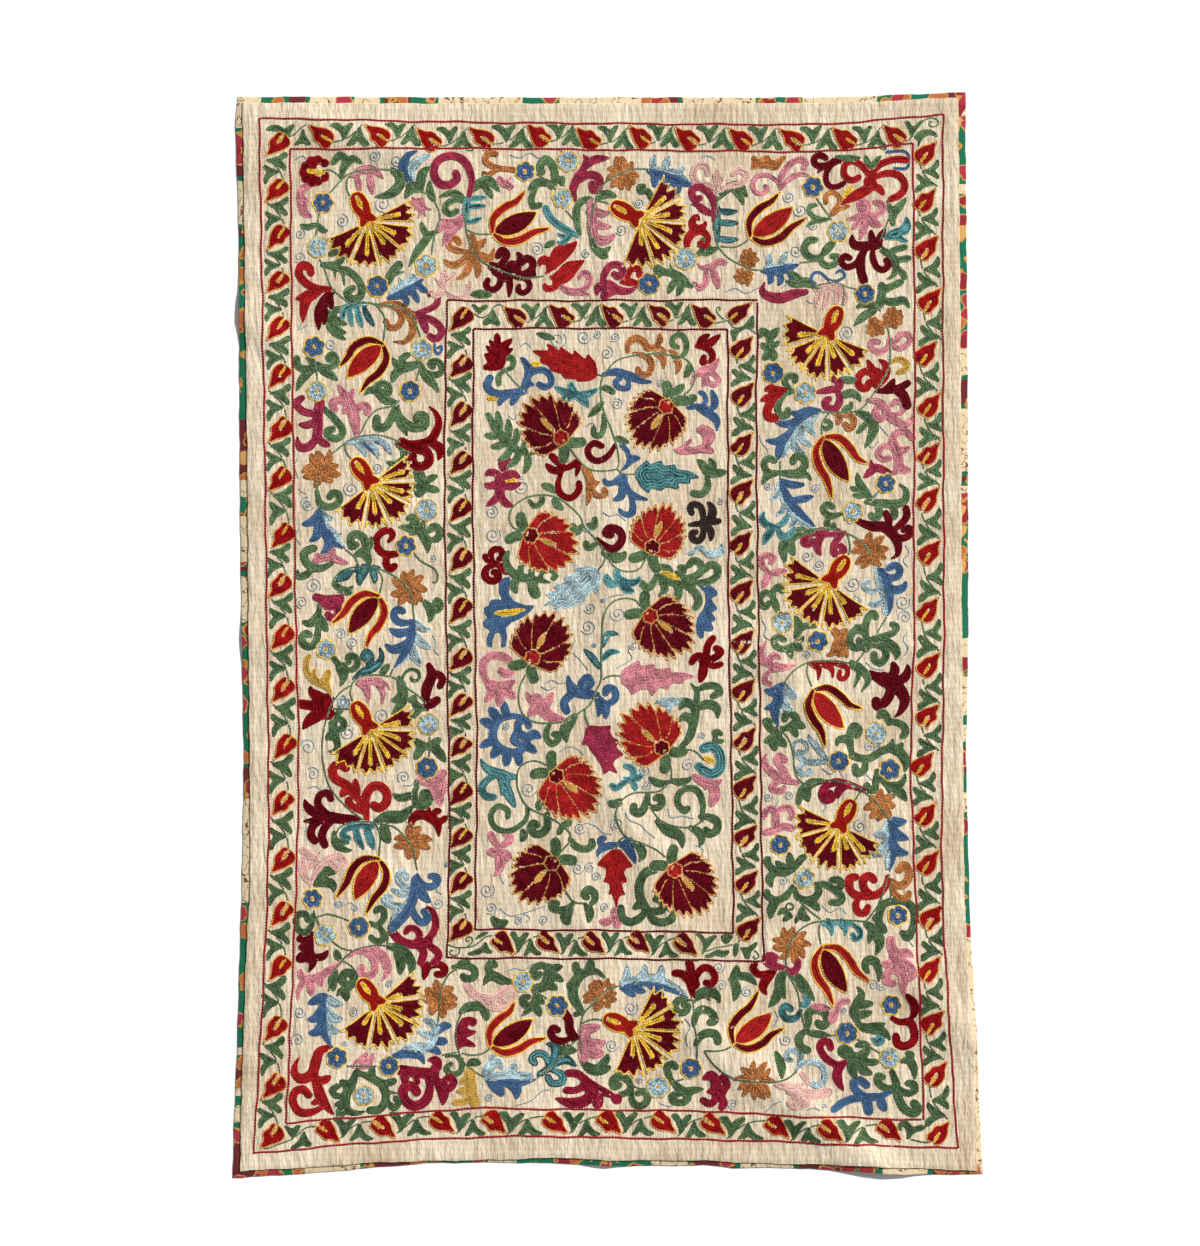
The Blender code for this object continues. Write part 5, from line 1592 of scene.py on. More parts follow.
# %% The middle, lower part
LOWER_MIDDLE = """
pink: 620,677 622,670 630,665 640,659 641,666 656,663 655,669 672,667 671,672 684,672 698,677 684,680
  684,684 672,683 668,690 660,687 652,697 648,689 640,690 632,696 628,688 622,684 o
pink: 496,692 489,684 484,674 484,662 491,656 503,656 511,662 512,670 506,674 501,670 10r; 494,690 490,696
  485,702 9p; 498,690 500,698 499,706 10p; 500,688 508,692 516,699 10p; 500,686 508,684 516,680 9p; 492,686
  506,690 13s
pink: 563,720 550,716 540,706 530,698 526,691 12p; 545,708 549,700 553,692 9p; 540,704 534,710 528,715 11p;
  536,700 542,708 14s
blue: 597,694 586,694 576,691 570,684 568,675 11p; 580,692 582,682 588,677 591,683 588,687 9r; 576,692
  567,698 564,704 567,711 10r; 572,690 584,694 10s
blue: 596,694 600,702 600,710 598,717 9p; 602,700 606,708 606,719 9p; 601,704 610,703 616,697 614,689
  607,688 606,693 9r
blue: 523,717 511,716 499,720 493,732 496,744 506,751 518,752 526,744 525,736 517,734 514,740 518,743 10r;
  508,716 505,709 504,701 9p; 499,720 494,713 489,707 10p; 494,726 487,722 480,720 10p; 494,740 487,743
  480,747 9p; 499,748 495,753 492,758 10p; 507,752 507,759 506,766 10p; 517,752 519,759 519,766 9p; 525,745
  531,748 537,753 9p; 527,739 534,734 541,738 10p; 524,738 518,730 519,722 526,719 529,726 9r
leaf_green: 551,722 547,730 547,738 552,744 558,740 558,734 554,734 8r; 575,716 570,722 565,731 567,742 12p
magenta: 586,727 590,725 600,726 612,725 610,731 613,737 620,741 616,747 625,755 616,759 613,764 620,776
  610,770 604,775 601,765 596,757 590,750 588,745 581,745 584,738 o
teal: 630,780 634,774 632,768 626,766 8r; 632,780 638,778 641,776 8r; 632,782 635,786 636,791 7p; 630,780
  623,783 617,788 612,785 8r; 628,778 620,776 6p
teal: 515,777 500,774 490,770 483,764 481,758 10p; 496,776 487,780 482,788 486,796 494,797 9r; 500,776
  504,786 502,796 9p; 504,778 508,792 516,808 10p; 502,774 506,780 10s
leaf_green: 527,805 528,813 523,823 509,831 495,827 491,815 498,806 508,810 508,817 7r; 522,828 524,836
  521,842 8l
leaf_green: 548,815 550,808 546,802 539,803 539,808 8r; 546,814 548,824 544,832 536,834 531,829 533,823
  537,825 10r
leaf_green: 562,825 568,823 572,817 8p; 562,826 560,831 558,835 7p; 570,838 576,846 585,849 592,846 592,841
  9r
leaf_green: 621,800 615,804 608,801 9p; 648,793 646,804 640,813 634,811 634,806 10r; 650,806 656,808 662,804
  661,797 656,798 9r
leaf_green: 650,778 658,783 667,783 671,779 8p; 671,780 680,782 688,780 692,776 8p
leaf_green: 702,820 703,804 698,791 688,788 679,794 678,804 685,811 688,808 8r
leaf_green: 658,821 668,830 680,836 683,848 12p; 690,827 699,832 702,840 699,847 9p; 634,841 641,848 643,856
  639,861 9p
blue: 618,844 608,846 600,850 597,857 8p; 602,846 600,840 604,838 8r; 620,843 628,848 633,856 636,863 9p;
  624,842 630,840 634,845 8r
leaf_green: 680,748 689,738 694,722 696,706 697,692 690,682 9p; 694,724 686,716 678,722 9p; 695,708 686,702
  679,710 9p; 697,690 706,686 716,686 720,692 713,696 9r; 697,708 708,704 717,708 718,719 10p
pale_blue: 697,701 684,699 672,700 4s; 678,702 664,702 655,703 10p; 670,704 669,710 668,716 6p
leaf_green: 714,732 718,731 721,734 5s; 714,732 716,737 714,741 5s; 715,742 722,741 5s
yellow: 703,757 710,760 716,762 6l
teal: 704,748 712,746 719,752 721,762 719,770 711,774 703,770 10s; 699,766 9s
pink: 694,776 704,782 714,784 723,779 10p; 712,784 715,794 711,807 12p; 704,782 706,792 8p
leaf_green: 700,816 709,817 717,821 717,830 709,834 706,830 10r
"""
print("lower middle:", work(LOWER_MIDDLE, "panel"))

# %% The bands on both sides, down to the last carnations
FOOT_SIDES = """
blush: 311,884 304,874 302,862 307,850 8p; 312,880 320,866 330,858 340,856 344,862 338,868 332,864 9r;
  306,870 314,860 321,850 8p; 303,850 310,856 316,862 8s
leaf_green: 316,884 320,876 328,871 337,873 12p; 318,884 326,882 333,885 334,892 10p
leaf_green: 313,914 312,924 306,932 299,930 296,921 299,914 306,914 308,920 8r
maroon: 310,930 308,942 309,954 313,962 309,972 12p; 308,934 302,938 297,940 10p; 308,944 303,947 299,947
  9p; 310,954 303,957 297,960 12p; 313,956 322,957 329,950 8p
pink: 341,962 330,970 318,977 306,980 299,990 298,1001 9p; 304,980 301,974 300,968 8p; 312,980 311,988
  312,996 9p; 322,975 320,980 323,986 8p
leaf_green: 337,968 333,980 334,991 10l; 340,990 348,988 354,980 352,973 345,973 342,980 346,984 10r;
  340,990 346,994 347,1001 9p; 340,990 337,997 9p; 336,951 338,956 341,961 8p
pink: 348,956 358,951 368,953 375,962 374,972 367,977 361,973 362,967 9r; 362,950 374,950 384,958 388,970
  382,981 11p
leaf_green: 388,946 398,948 406,954 412,964 411,977 11p; 396,952 401,962 400,975 10p
blue: 417,875 422,884 430,887 437,883 437,877 431,876 9r; 416,884 424,896 431,903 10p; 412,906 416,917
  423,923 428,918 424,911 9r; 416,880 414,896 408,910 400,920 392,928 10s
pale_blue: 414,884 406,886 399,881 399,874 405,873 407,878 8r; 413,892 402,893 391,888 8p; 408,904 396,906
  387,902 385,897 390,897 9r; 415,882 412,896 404,910 396,918 8s; 398,910 393,920 392,926 7p
leaf_green: 369,923 377,925 384,918 384,910 379,908 376,911 8r; 378,925 384,934 383,940 376,941 371,937 8r;
  373,923 366,919 5p
wine: 391,930 400,940 410,944 420,944 9s; 414,943 420,936 416,929 409,928 406,932 8r; 420,943 431,936
  436,924 433,913 428,909 9r; 418,944 428,942 10s; 420,946 424,953 421,962 8s; 426,944 436,950 439,956
  434,962 9r
deep_red: 420,962 426,966 424,980 9p; 425,972 430,966 438,964 445,968 443,974 437,974 9r
leaf_green: 453,967 460,966 468,966 475,970 474,977 467,979 463,976 9r; 462,964 466,961 9s
leaf_green: 511,982 502,980 494,976 488,978 484,985 10p; 494,976 488,968 492,962 495,965 9r
blush: 468,986 474,994 484,998 494,998 502,992 510,986 9s; 480,998 490,1006 502,1008 512,1002 514,994 9r;
  498,998 504,1002 6s
blue: 325,995 316,1000 308,1004 10p; 322,1008 316,1018 307,1019 10p; 323,1020 318,1031 308,1033 10p; 324,998
  322,1016 324,1032 332,1048 9p
pale_blue: 326,996 334,1002 344,1004 10p; 327,1008 334,1018 344,1019 10p; 327,1022 332,1030 341,1031 9p;
  327,998 326,1016 328,1030 332,1044 7p
pale_blue: 437,1026 431,1022 423,1019 8p; 436,1036 428,1034 417,1031 8p; 432,1046 420,1046 402,1048 9p;
  436,1028 433,1040 424,1050 8s
blue: 438,1032 444,1026 452,1026 9p; 435,1042 441,1041 448,1042 9p
leaf_green: 461,1012 468,1007 480,1006 490,1008 492,1012 10p; 482,1008 486,1014 487,1021 9p
wine: 459,1050 456,1040 457,1026 462,1018 470,1016 477,1019 477,1025 472,1027 470,1024 467,1028 472,1030
  479,1031 473,1035 466,1038 472,1041 478,1047 470,1047 464,1046 o
stem: 564,885 567,893 573,901 580,903 588,903 2s
leaf_green: 536,989 544,986 548,978 549,968 10s; 549,968 543,965 536,967 533,972 536,977 540,974 9r; 549,972
  556,968 563,966 9p; 548,980 556,977 564,982 9p; 544,986 552,986 558,990 9p
leaf_green: 536,990 536,1000 530,1008 522,1016 9p; 534,1004 538,1010 541,1016 9p; 531,1006 524,1004 523,998
  528,997 9r; 536,992 540,1000 545,1004 8p
leaf_green: 583,1013 574,998 574,985 582,974 596,971 606,978 11p; 576,990 570,985 571,981 9p; 582,976
  577,970 576,965 10r; 592,972 590,967 591,963 11r; 576,1000 570,995 8p; 583,1012 576,1014 8r
pale_blue: 621,984 627,976 627,964 8p; 636,981 644,974 645,963 9p; 654,981 661,974 662,964 9p; 622,983
  640,978 660,979 678,988 689,996 8p
blue: 620,985 628,990 636,997 9p; 634,984 640,990 646,992 9p; 650,984 658,990 664,997 10p; 622,985 642,982
  662,986 678,992 691,998 8p
deep_red: 693,997 690,982 682,974 675,973 10r; 690,978 691,968 689,962 10r; 692,988 697,974 704,967 712,970
  715,978 711,984 706,982 9r; 690,974 694,984 12s
leaf_green: 693,999 684,998 676,1002 676,1010 684,1012 688,1006 684,1004 9r; 694,1000 700,994 708,991
  716,994 720,1003 11p; 706,994 711,1002 8p
leaf_green: 694,1024 696,1014 702,1009 711,1012 715,1020 710,1022 10r; 696,1044 700,1036 708,1032 716,1034
  718,1041 10r
maroon: 564,1012 569,1020 570,1030 575,1038 9s; 572,1037 564,1041 556,1040 551,1034 553,1028 558,1030 9r
pink: 583,1028 592,1028 601,1026 10p; 584,1030 584,1044 584,1056 12s; 584,1042 594,1044 606,1042 12p
leaf_green: 794,870 784,873 774,870 767,862 768,859 9r; 776,872 770,878 772,887 9p; 790,868 781,866 776,860
  8p; 792,868 790,858 789,852 9p; 795,868 800,860 804,857 9r
leaf_green: 793,886 786,896 776,900 768,896 767,892 9r; 778,899 772,908 771,919 10p
leaf_green: 795,888 797,896 804,900 814,898 819,892 818,887 9r; 806,900 814,904 820,911 9p
leaf_green: 779,914 783,910 788,913 7r; 784,920 790,916 792,919 7p; 796,922 798,917 7r; 802,908 803,916
  811,920 9p; 787,910 786,905 790,903 794,906 792,910 789,908 2s
leaf_green: 814,884 824,884 832,888 842,896 840,902 832,902 9r; 834,890 841,886 840,880 832,880 9r
red: 888,876 886,886 878,894 866,896 854,894 849,886 850,878 856,877 10r; 872,894 864,888 864,878 870,876
  874,880 10r; 860,896 856,904 858,912 865,913 868,907 9r
ochre: 892,880 900,886 908,880 909,870 904,865 899,870 10r; 892,880 893,890 900,898 908,897 909,893 8r
leaf_green: 892,901 884,904 880,912 879,922 884,930 8s; 892,901 904,901 913,908 915,920 912,930 906,937 8s;
  880,914 876,918 873,917 8p; 902,932 908,937 914,933 9p
teal: 824,924 838,923 852,924 5s; 828,922 832,930 832,936 8b; 842,922 846,930 845,936 8b; 852,924 860,930
  860,937 855,939 853,934 7r
leaf_green: 866,923 874,930 880,942 876,955 11p; 872,930 870,938 869,944 7p
pink: 896,956 892,948 891,940 12r; 898,954 906,952 914,957 9p; 897,962 888,964 881,963 9p; 896,966 888,972
  886,980 893,983 10r; 902,960 910,966 913,974 908,978 10r; 900,966 903,980 904,996 9p; 897,956 900,968 16s
magenta: 784,968 776,966 768,963 766,957 772,956 776,958 10r; 786,968 792,972 797,968 798,961 9r
deep_red: 775,970 766,974 758,974 753,968 755,964 9r; 774,972 766,980 763,988 767,995 10p
leaf_green: 784,970 780,982 782,990 785,999 11p; 780,984 776,998 769,1007 10p; 788,972 798,978 806,988
  815,1001 10p; 798,980 802,988 804,994 8p
leaf_green: 732,978 736,972 737,965 9p; 734,976 744,976 750,978 757,985 9p; 732,978 736,986 736,994 734,1001
  10p; 732,979 726,979 5p
teal: 801,1010 796,1018 786,1018 782,1010 786,1006 791,1009 9r; 800,1003 806,1005 808,998 805,996 8r
pink: 812,1006 820,1007 832,1009 8p; 834,1020 838,1008 840,1002 848,1001 8r; 832,1022 834,1014 838,1010 10p
leaf_green: 806,1031 809,1022 808,1014 814,1010 824,1012 828,1020 823,1026 818,1023 10r; 806,1030 799,1038
  802,1048 808,1050 10r; 808,1032 818,1034 832,1036 8p
leaf_green: 858,1022 854,1012 858,1002 862,994 857,986 10p; 858,1006 866,1004 874,1004 9p; 856,1016 864,1014
  873,1012 9p; 858,1024 866,1028 878,1026 886,1023 10p; 864,1028 876,1030 884,1032 891,1040 10p
deep_red: 907,995 914,1004 914,1014 908,1020 9p; 892,1018 900,1022 910,1022 914,1030 914,1040 906,1046
  898,1044 896,1036 10r
teal: 872,1038 878,1044 883,1040 880,1036 875,1041 6r
leaf_green: 868,972 865,966 868,960 875,961 879,970 879,982 9p
"""
print("foot of the sides:", work(FOOT_SIDES, "field"))

# %% The middle, foot
FOOT_MIDDLE = """
pink: 500,846 508,842 511,836 506,834 9r; 498,846 494,840 491,834 9r; 500,848 500,858 500,868 494,876 10p;
  500,852 494,852 487,852 10p; 502,852 508,856 505,862 9p
leaf_green: 574,902 568,908 560,910 553,908 552,903 557,903 9r; 570,908 566,916 569,925 12p; 589,905 595,900
  594,892 588,889 584,894 587,897 9r; 586,904 590,912 589,923 9p
red: 612,849 620,849 626,856 634,867 626,868 624,873 628,882 622,883 623,890 627,896 621,895 618,900 617,912
  614,900 612,894 608,895 610,888 609,883 603,882 606,875 606,868 596,865 603,857 o
leaf_green: 655,869 646,872 640,882 640,896 646,908 9s; 646,910 640,918 630,922 622,917 621,908 10r; 642,902
  637,906 633,909 8p; 648,912 654,920 664,922 672,918 674,913 10r; 646,908 654,911 662,910 664,904 660,898
  656,899 9r
pink: 615,911 616,918 618,924 9s; 614,918 606,922 599,920 9p; 616,920 622,925 8p
leaf_green: 493,918 498,924 504,923 508,920 10p
"""
print("foot of the middle:", work(FOOT_MIDDLE, "panel"))

# %% Bottom band
BOTTOM_BAND = """
red: 331,1047 320,1051 316,1062 312,1074 302,1079 295,1074 295,1066 299,1057 11p; 315,1074 318,1088 322,1098
  328,1108 334,1115 11p; 318,1080 324,1080 331,1076 9p; 324,1106 312,1112 300,1112 293,1102 295,1092
  303,1089 309,1095 10r; 320,1098 316,1102 311,1103 7p
leaf_green: 357,1070 352,1084 346,1096 347,1109 356,1113 366,1111 10p; 357,1072 370,1077 382,1085 386,1098
  380,1109 370,1110 10r; 366,1076 372,1074 372,1069 9r; 380,1082 387,1083 394,1081 9r; 386,1092 398,1093 9p;
  386,1100 394,1108 399,1102 396,1098 8r; 352,1084 346,1084 340,1080 9p; 346,1094 337,1096 332,1090 338,1086
  8r; 345,1102 340,1104 335,1104 8p; 346,1110 340,1115 339,1110 8r
pink: 353,1066 362,1060 368,1052 9p; 356,1066 368,1064 374,1052 8p
blue: 394,1056 408,1053 420,1056 425,1064 10p; 428,1048 436,1050 441,1055 8p; 436,1036 430,1046 418,1052
  402,1054 7s
wine: 401,1070 414,1072 426,1073 434,1074 11s; 430,1072 437,1067 436,1060 427,1060 10p; 403,1072 405,1078
  404,1083 9p; 434,1076 442,1084 450,1088 454,1082 450,1077 445,1080 9r; 436,1080 443,1090 443,1105 12p;
  426,1074 430,1086 426,1100 414,1106 404,1098 404,1088 412,1086 417,1092 12r; 414,1074 418,1082 8r
leaf_green: 446,1056 456,1055 462,1062 460,1072 451,1074 446,1068 451,1064 7r; 467,1064 474,1062 481,1064 9l
ochre_yellow: 470,1072 471,1084 472,1095 475,1102 11s; 468,1078 463,1081 459,1083 8p; 468,1088 462,1091
  456,1091 8p; 470,1098 462,1102 455,1102 9r; 474,1098 480,1104 7p
pale_blue: 486,1077 488,1068 498,1062 503,1070 11p; 492,1076 510,1075 530,1076 8s; 506,1074 512,1070
  516,1063 10p
blue: 486,1079 500,1082 518,1083 537,1079 9p; 490,1081 498,1088 503,1096 12p; 506,1081 516,1088 517,1099 11p
teal: 548,1064 546,1056 538,1053 532,1058 535,1063 9r; 552,1062 556,1052 553,1045 546,1044 9p; 552,1066
  560,1061 568,1060 577,1067 9p; 552,1070 562,1074 562,1082 552,1083 548,1077 9r; 540,1074 552,1066 7s
leaf_green: 561,1058 566,1050 577,1051 11p; 564,1052 562,1044 565,1042 9r; 583,1062 590,1068 598,1070
  606,1069 611,1065 11p; 598,1067 606,1060 608,1053 9p
pink: 584,1052 592,1054 600,1053 9s
wine: 617,1098 608,1093 596,1087 586,1080 578,1074 568,1073 10r; 588,1084 576,1090 566,1090 9r; 594,1088
  586,1100 572,1103 555,1098 12p; 598,1090 598,1103 11s; 586,1084 594,1092 12s; 617,1099 11s
leaf_green: 632,1088 628,1080 620,1076 613,1080 614,1086 619,1085 10r; 630,1086 628,1092 619,1095 8r;
  632,1090 632,1100 638,1106 646,1103 648,1094 642,1091 638,1093 9r
leaf_green: 672,1082 668,1072 667,1066 673,1064 676,1067 9r; 673,1082 684,1092 694,1090 704,1089 10p;
  680,1088 688,1096 684,1102 675,1102 672,1096 678,1094 9r
wine: 705,1078 711,1075 716,1082 714,1090 706,1092 11p; 712,1088 716,1098 710,1104 703,1100 9r; 723,1077
  727,1085 722,1091 720,1096 724,1102 722,1107 8s; 715,1090 722,1092 10s
blush: 775,1083 786,1086 798,1086 806,1082 8p; 808,1084 806,1078 802,1074 8r; 790,1090 802,1092 816,1094
  829,1092 9s; 800,1090 800,1100 796,1106 790,1102 793,1098 9r; 808,1094 806,1102 800,1108 8p
pale_blue: 796,1070 800,1062 800,1054 794,1050 788,1052 787,1058 792,1060 7r; 800,1066 810,1062 820,1064
  825,1072 823,1082 816,1086 812,1083 8r
leaf_green: 775,1050 781,1064 782,1079 9l
wine: 846,1062 836,1064 826,1058 820,1048 822,1042 829,1042 831,1048 9r; 845,1062 838,1070 838,1080 844,1091
  10p
leaf_green: 856,1058 848,1056 841,1052 843,1048 850,1050 9r; 858,1056 866,1052 869,1045 9p; 854,1046
  864,1044 872,1049 8l; 860,1058 868,1062 876,1062 9r; 858,1060 864,1070 873,1074 10p; 852,1058 852,1068
  856,1079 10p; 852,1057 862,1060 12s
leaf_green: 902,1061 909,1060 914,1068 915,1079 9p; 908,1060 911,1055 905,1052 8p
blue: 890,1092 880,1096 868,1097 856,1098 844,1102 834,1109 10r; 866,1096 856,1090 854,1082 860,1080
  867,1085 10r; 866,1098 868,1106 869,1111 12r; 880,1096 882,1104 886,1111 10p
leaf_green: 892,1071 896,1082 898,1096 904,1108 914,1113 918,1108 914,1103 11r; 896,1087 886,1088 878,1082
  878,1076 883,1077 9r; 898,1088 908,1093 915,1090 914,1084 908,1083 9r
"""
print("bottom band:", work(BOTTOM_BAND, "field"))

# %% [markdown]
# ## Small spirals and scribbles
#
# The gaps are filled last, with fine grey-blue spirals and wavering lines. They are one thin row, so
# they read as drawing and not as leaves. A spiral is a circle whose radius grows as it turns.

# %% Grey spirals and scribbles
# The middle of each and its reach, in chart units.
BAND_SPIRALS = """
375,156,6 397,161,6 342,221,7 300,234,6 300,257,6 383,204,9 537,249,7 586,254,5 639,203,6 621,230,6 789,197,6
800,210,7 813,226,5 796,251,7 331,344,6 351,489,8 377,468,6 306,503,6 847,333,8 768,486,4 816,489,5
308,505,6 313,586,8 302,602,7 341,634,6 353,643,6 433,558,4 807,556,6 819,565,6 853,584,8 856,600,6
903,602,8 905,617,7 850,520,6 807,655,5 720,502,4 382,716,8 405,714,5 348,733,8 308,747,8 313,774,7
404,777,7 768,797,5 789,796,5 860,826,7 869,747,6 339,904,5 355,909,4 389,984,4 438,903,6 353,1012,5
300,1012,6 298,1040,7 345,1043,3 631,1008,8 612,1045,7 719,967,6 722,985,6 747,992,6 783,881,5 873,985,6
881,985,6 786,1040,6 844,1010,4 640,1080,4 492,1058,4 489,1098,4 733,1104,6 448,864,4 824,1106,3 877,747,4
"""
PANEL_SPIRALS = """
558,340,9 584,337,7 597,335,4 607,353,7 615,337,5 662,383,5 617,404,6 522,487,9 588,527,6 588,627,8 618,614,8
633,646,4 492,512,7 493,535,8 529,789,8 645,770,6 647,785,5 688,765,6 617,824,7 580,828,6 590,868,6
578,868,6 596,877,5 605,907,5 518,921,5 544,920,5 491,908,7 487,890,8 506,726,4 590,608,6 603,600,3
594,645,3 702,736,4
"""
# Fine lines that waver, each through a few places.
BAND_SCRIBBLES = """
295,160 303,156 309,162 316,155 | 510,155 520,158 530,153 539,158 548,154 | 701,158 708,156 716,160 | 725,292
736,288 746,293 760,287 | 781,288 790,282 798,284 806,276 | 298,458 295,466 298,478 | 299,488 302,492
306,494 | 300,312 306,306 304,318 298,330 308,324 | 878,424 883,430 888,436 | 866,441 872,448 878,441 |
760,435 762,443 768,450 766,457 | 300,527 296,536 301,545 | 433,635 436,642 434,650 439,655 | 905,545
909,553 903,560 908,567 | 907,632 903,640 908,648 904,656 | 762,620 766,628 764,635 770,640 | 866,662
873,668 884,670 | 308,788 316,786 322,790 328,786 | 304,832 308,828 312,832 | 417,779 411,785 404,785 |
822,768 830,774 838,771 844,778 | 856,778 864,774 872,780 | 344,906 350,902 356,906 | 441,885 436,890
442,894 | 822,905 830,912 840,908 846,914 | 904,934 908,940 914,947 | 774,1010 778,1018 774,1026 | 685,1018
690,1026 686,1036 688,1046 | 505,972 516,968 524,970 534,963 | 516,1105 530,1101 542,1091 550,1090 |
660,1103 668,1106 678,1104 | 765,1112 774,1104 782,1100 | 806,1110 814,1107 820,1110 | 820,802 826,806
822,812 | 780,812 776,806 779,800 | 348,1030 354,1033 350,1038 | 560,150 568,153 576,149 | 660,232 668,236
676,232 | 806,300 812,304 818,298
"""
PANEL_SCRIBBLES = """
520,347 526,343 531,348 | 509,416 514,420 518,414 | 586,427 592,423 597,428 | 603,512 610,516 618,514 626,521
| 603,600 612,596 624,594 630,592 | 576,640 572,650 580,660 588,670 | 634,642 628,650 632,658 624,664
616,668 | 545,684 552,680 560,684 568,680 | 560,752 568,747 578,749 584,755 | 577,830 586,823 596,826
604,833 612,834 | 626,812 630,820 640,824 648,832 655,838 | 668,808 671,817 682,816 694,819 | 500,908
510,916 522,914 534,910 546,906 | 524,914 530,918 526,922 | 502,866 500,876 504,884 | 490,930 498,926
504,922 | 696,845 704,850 700,860 708,866 | 541,686 548,690 556,686
"""
SPIRAL_TURNS, SPIRAL_STEPS = 1.7, 12
WOUND_IN = 0.82  # how much of its reach a spiral has lost when it ends
FINE_ROW = 1.5


def spiral(across, down, reach, seed):
    """The places of a line that winds in to a middle."""
    rnd = random.Random(seed)
    start, way = rnd.uniform(0, 6.28), rnd.choice((-1, 1))
    spots = []
    for k in range(SPIRAL_STEPS + 1):
        t = k / SPIRAL_STEPS
        a = start + way * t * SPIRAL_TURNS * 2 * math.pi
        r = reach * (1 - WOUND_IN * t)
        spots.append((across + r * math.cos(a), down - r * math.sin(a)))
    return spots


for part, table, lines in (("field", BAND_SPIRALS, BAND_SCRIBBLES), ("panel", PANEL_SPIRALS, PANEL_SCRIBBLES)):
    middles = places(table)
    for n, (across, down, reach) in enumerate(middles):
        thread_line("grey", spiral(across, down, reach, n + 1), FINE_ROW, part, seed=n, hold=False)
    wavering = lines.split("|")
    for n, line in enumerate(wavering):
        thread_line("grey", places(line), FINE_ROW, part, seed=n, hold=False)
    print(part, "spirals:", len(middles), "and scribbles:", len(wavering))

# %% [markdown]
# ## From the chart to thread
#
# All the links of one colour in one part of the cloth become one mesh. The link's corners are turned,
# stretched and stood on the cloth for every place in the list at once, which an array does in a blink
# and an operator for each link would not. Each link keeps a number for its own shade of the dye, and
# the silk's material multiplies the dye by it.

# %% Silk dyes
THREADS = {
    # the dye, then how far its shade varies from link to link, over the cloth, and from row to row
    "guard_red": (0x8C1E28, 0.12, 0.10, 0.06), "guard_dark": (0x561018, 0.12, 0.10, 0.06),
    "maroon": (0x590C16, 0.30, 0.18, 0.12), "bud_red": (0x921416, 0.24, 0.18, 0.10),
    "red": (0x9E2020, 0.22, 0.16, 0.10), "cup_red": (0x9A1C16, 0.12, 0.10, 0.08),
    "deep_red": (0x770E15, 0.26, 0.22, 0.34), "yellow": (0xE4B83C, 0.22, 0.18, 0.14),
    "gold": (0xD6A438, 0.12, 0.10, 0.08), "amber": (0xD0984C, 0.12, 0.12, 0.08),
    "ochre_yellow": (0xC49C4C, 0.14, 0.12, 0.14), "ochre_eye": (0xD8A040, 0.05, 0.0, 0.00),
    "ochre": (0xAE7040, 0.26, 0.22, 0.16), "leaf_green": (0x526848, 0.30, 0.24, 0.14),
    "stem": (0x566E52, 0.18, 0.12, 0.08), "blue": (0x456182, 0.16, 0.18, 0.14),
    "pale_blue": (0xA2B8BC, 0.26, 0.36, 0.22), "teal": (0x4C7A7C, 0.24, 0.30, 0.72),
    "magenta": (0x943046, 0.26, 0.18, 0.12), "wine": (0x891E32, 0.26, 0.18, 0.14),
    "pink": (0xC88088, 0.22, 0.24, 0.16), "blush": (0xDCB0A4, 0.10, 0.12, 0.10),
    "black": (0x1C1614, 0.30, 0.15, 0.45), "grey": (0x8496A0, 0.12, 0.12, 0.10),
}


def linear(code):
    """A dye's colour as the shader wants it."""
    parts = [((code >> shift) & 255) / 255 for shift in (16, 8, 0)]
    return [c / 12.92 if c <= 0.04045 else ((c + 0.055) / 1.055) ** 2.4 for c in parts]


print(len(THREADS), "silks")

# %% The silk material
def new_paint(name, roughness, specular):
    """A material and its shader, with the two numbers that tell dull from glossy."""
    paint = bpy.data.materials.new(name)
    paint.use_nodes = True
    shader = paint.node_tree.nodes["Principled BSDF"]
    shader.inputs["Roughness"].default_value = roughness
    shader.inputs["Specular IOR Level"].default_value = specular
    return paint, shader


def add(paint, kind, sockets, **settings):
    """Adds a node. Each of its sockets takes a number or a colour, or a link from another node's socket."""
    node = paint.node_tree.nodes.new("ShaderNode" + kind)
    for setting, value in settings.items():
        setattr(node, setting, value)
    for socket, source in sockets.items():
        if isinstance(source, bpy.types.NodeSocket):
            paint.node_tree.links.new(source, node.inputs[socket])
        else:
            node.inputs[socket].default_value = source
    return node


def silk(name, colour):
    """Silk thread: the dye, shaded link by link, with a soft sheen and the twist of the strand as bump."""
    paint, shader = new_paint(name, 0.5, 0.35)
    shader.inputs["Specular Tint"].default_value = (*[c / max(colour) for c in colour], 1.0)
    shade = add(paint, "Attribute", {}, attribute_name="shade").outputs["Fac"]
    shaded = {"Factor": 1.0, "A": (*colour, 1.0), "B": shade}
    dye = add(paint, "Mix", shaded, data_type="RGBA", blend_type="MULTIPLY")
    paint.node_tree.links.new(dye.outputs["Result"], shader.inputs["Base Color"])
    where = add(paint, "TexCoord", {}).outputs["Object"]
    twist = add(paint, "TexNoise", {"Vector": where, "Scale": 1400.0, "Detail": 2.0}).outputs["Fac"]
    bump = add(paint, "Bump", {"Strength": 0.35, "Distance": 0.0004, "Height": twist})
    paint.node_tree.links.new(bump.outputs["Normal"], shader.inputs["Normal"])
    return paint


SILKS = {name: silk("silk_" + name, linear(row[0])) for name, row in THREADS.items()}
print("silk materials:", ", ".join(SILKS))

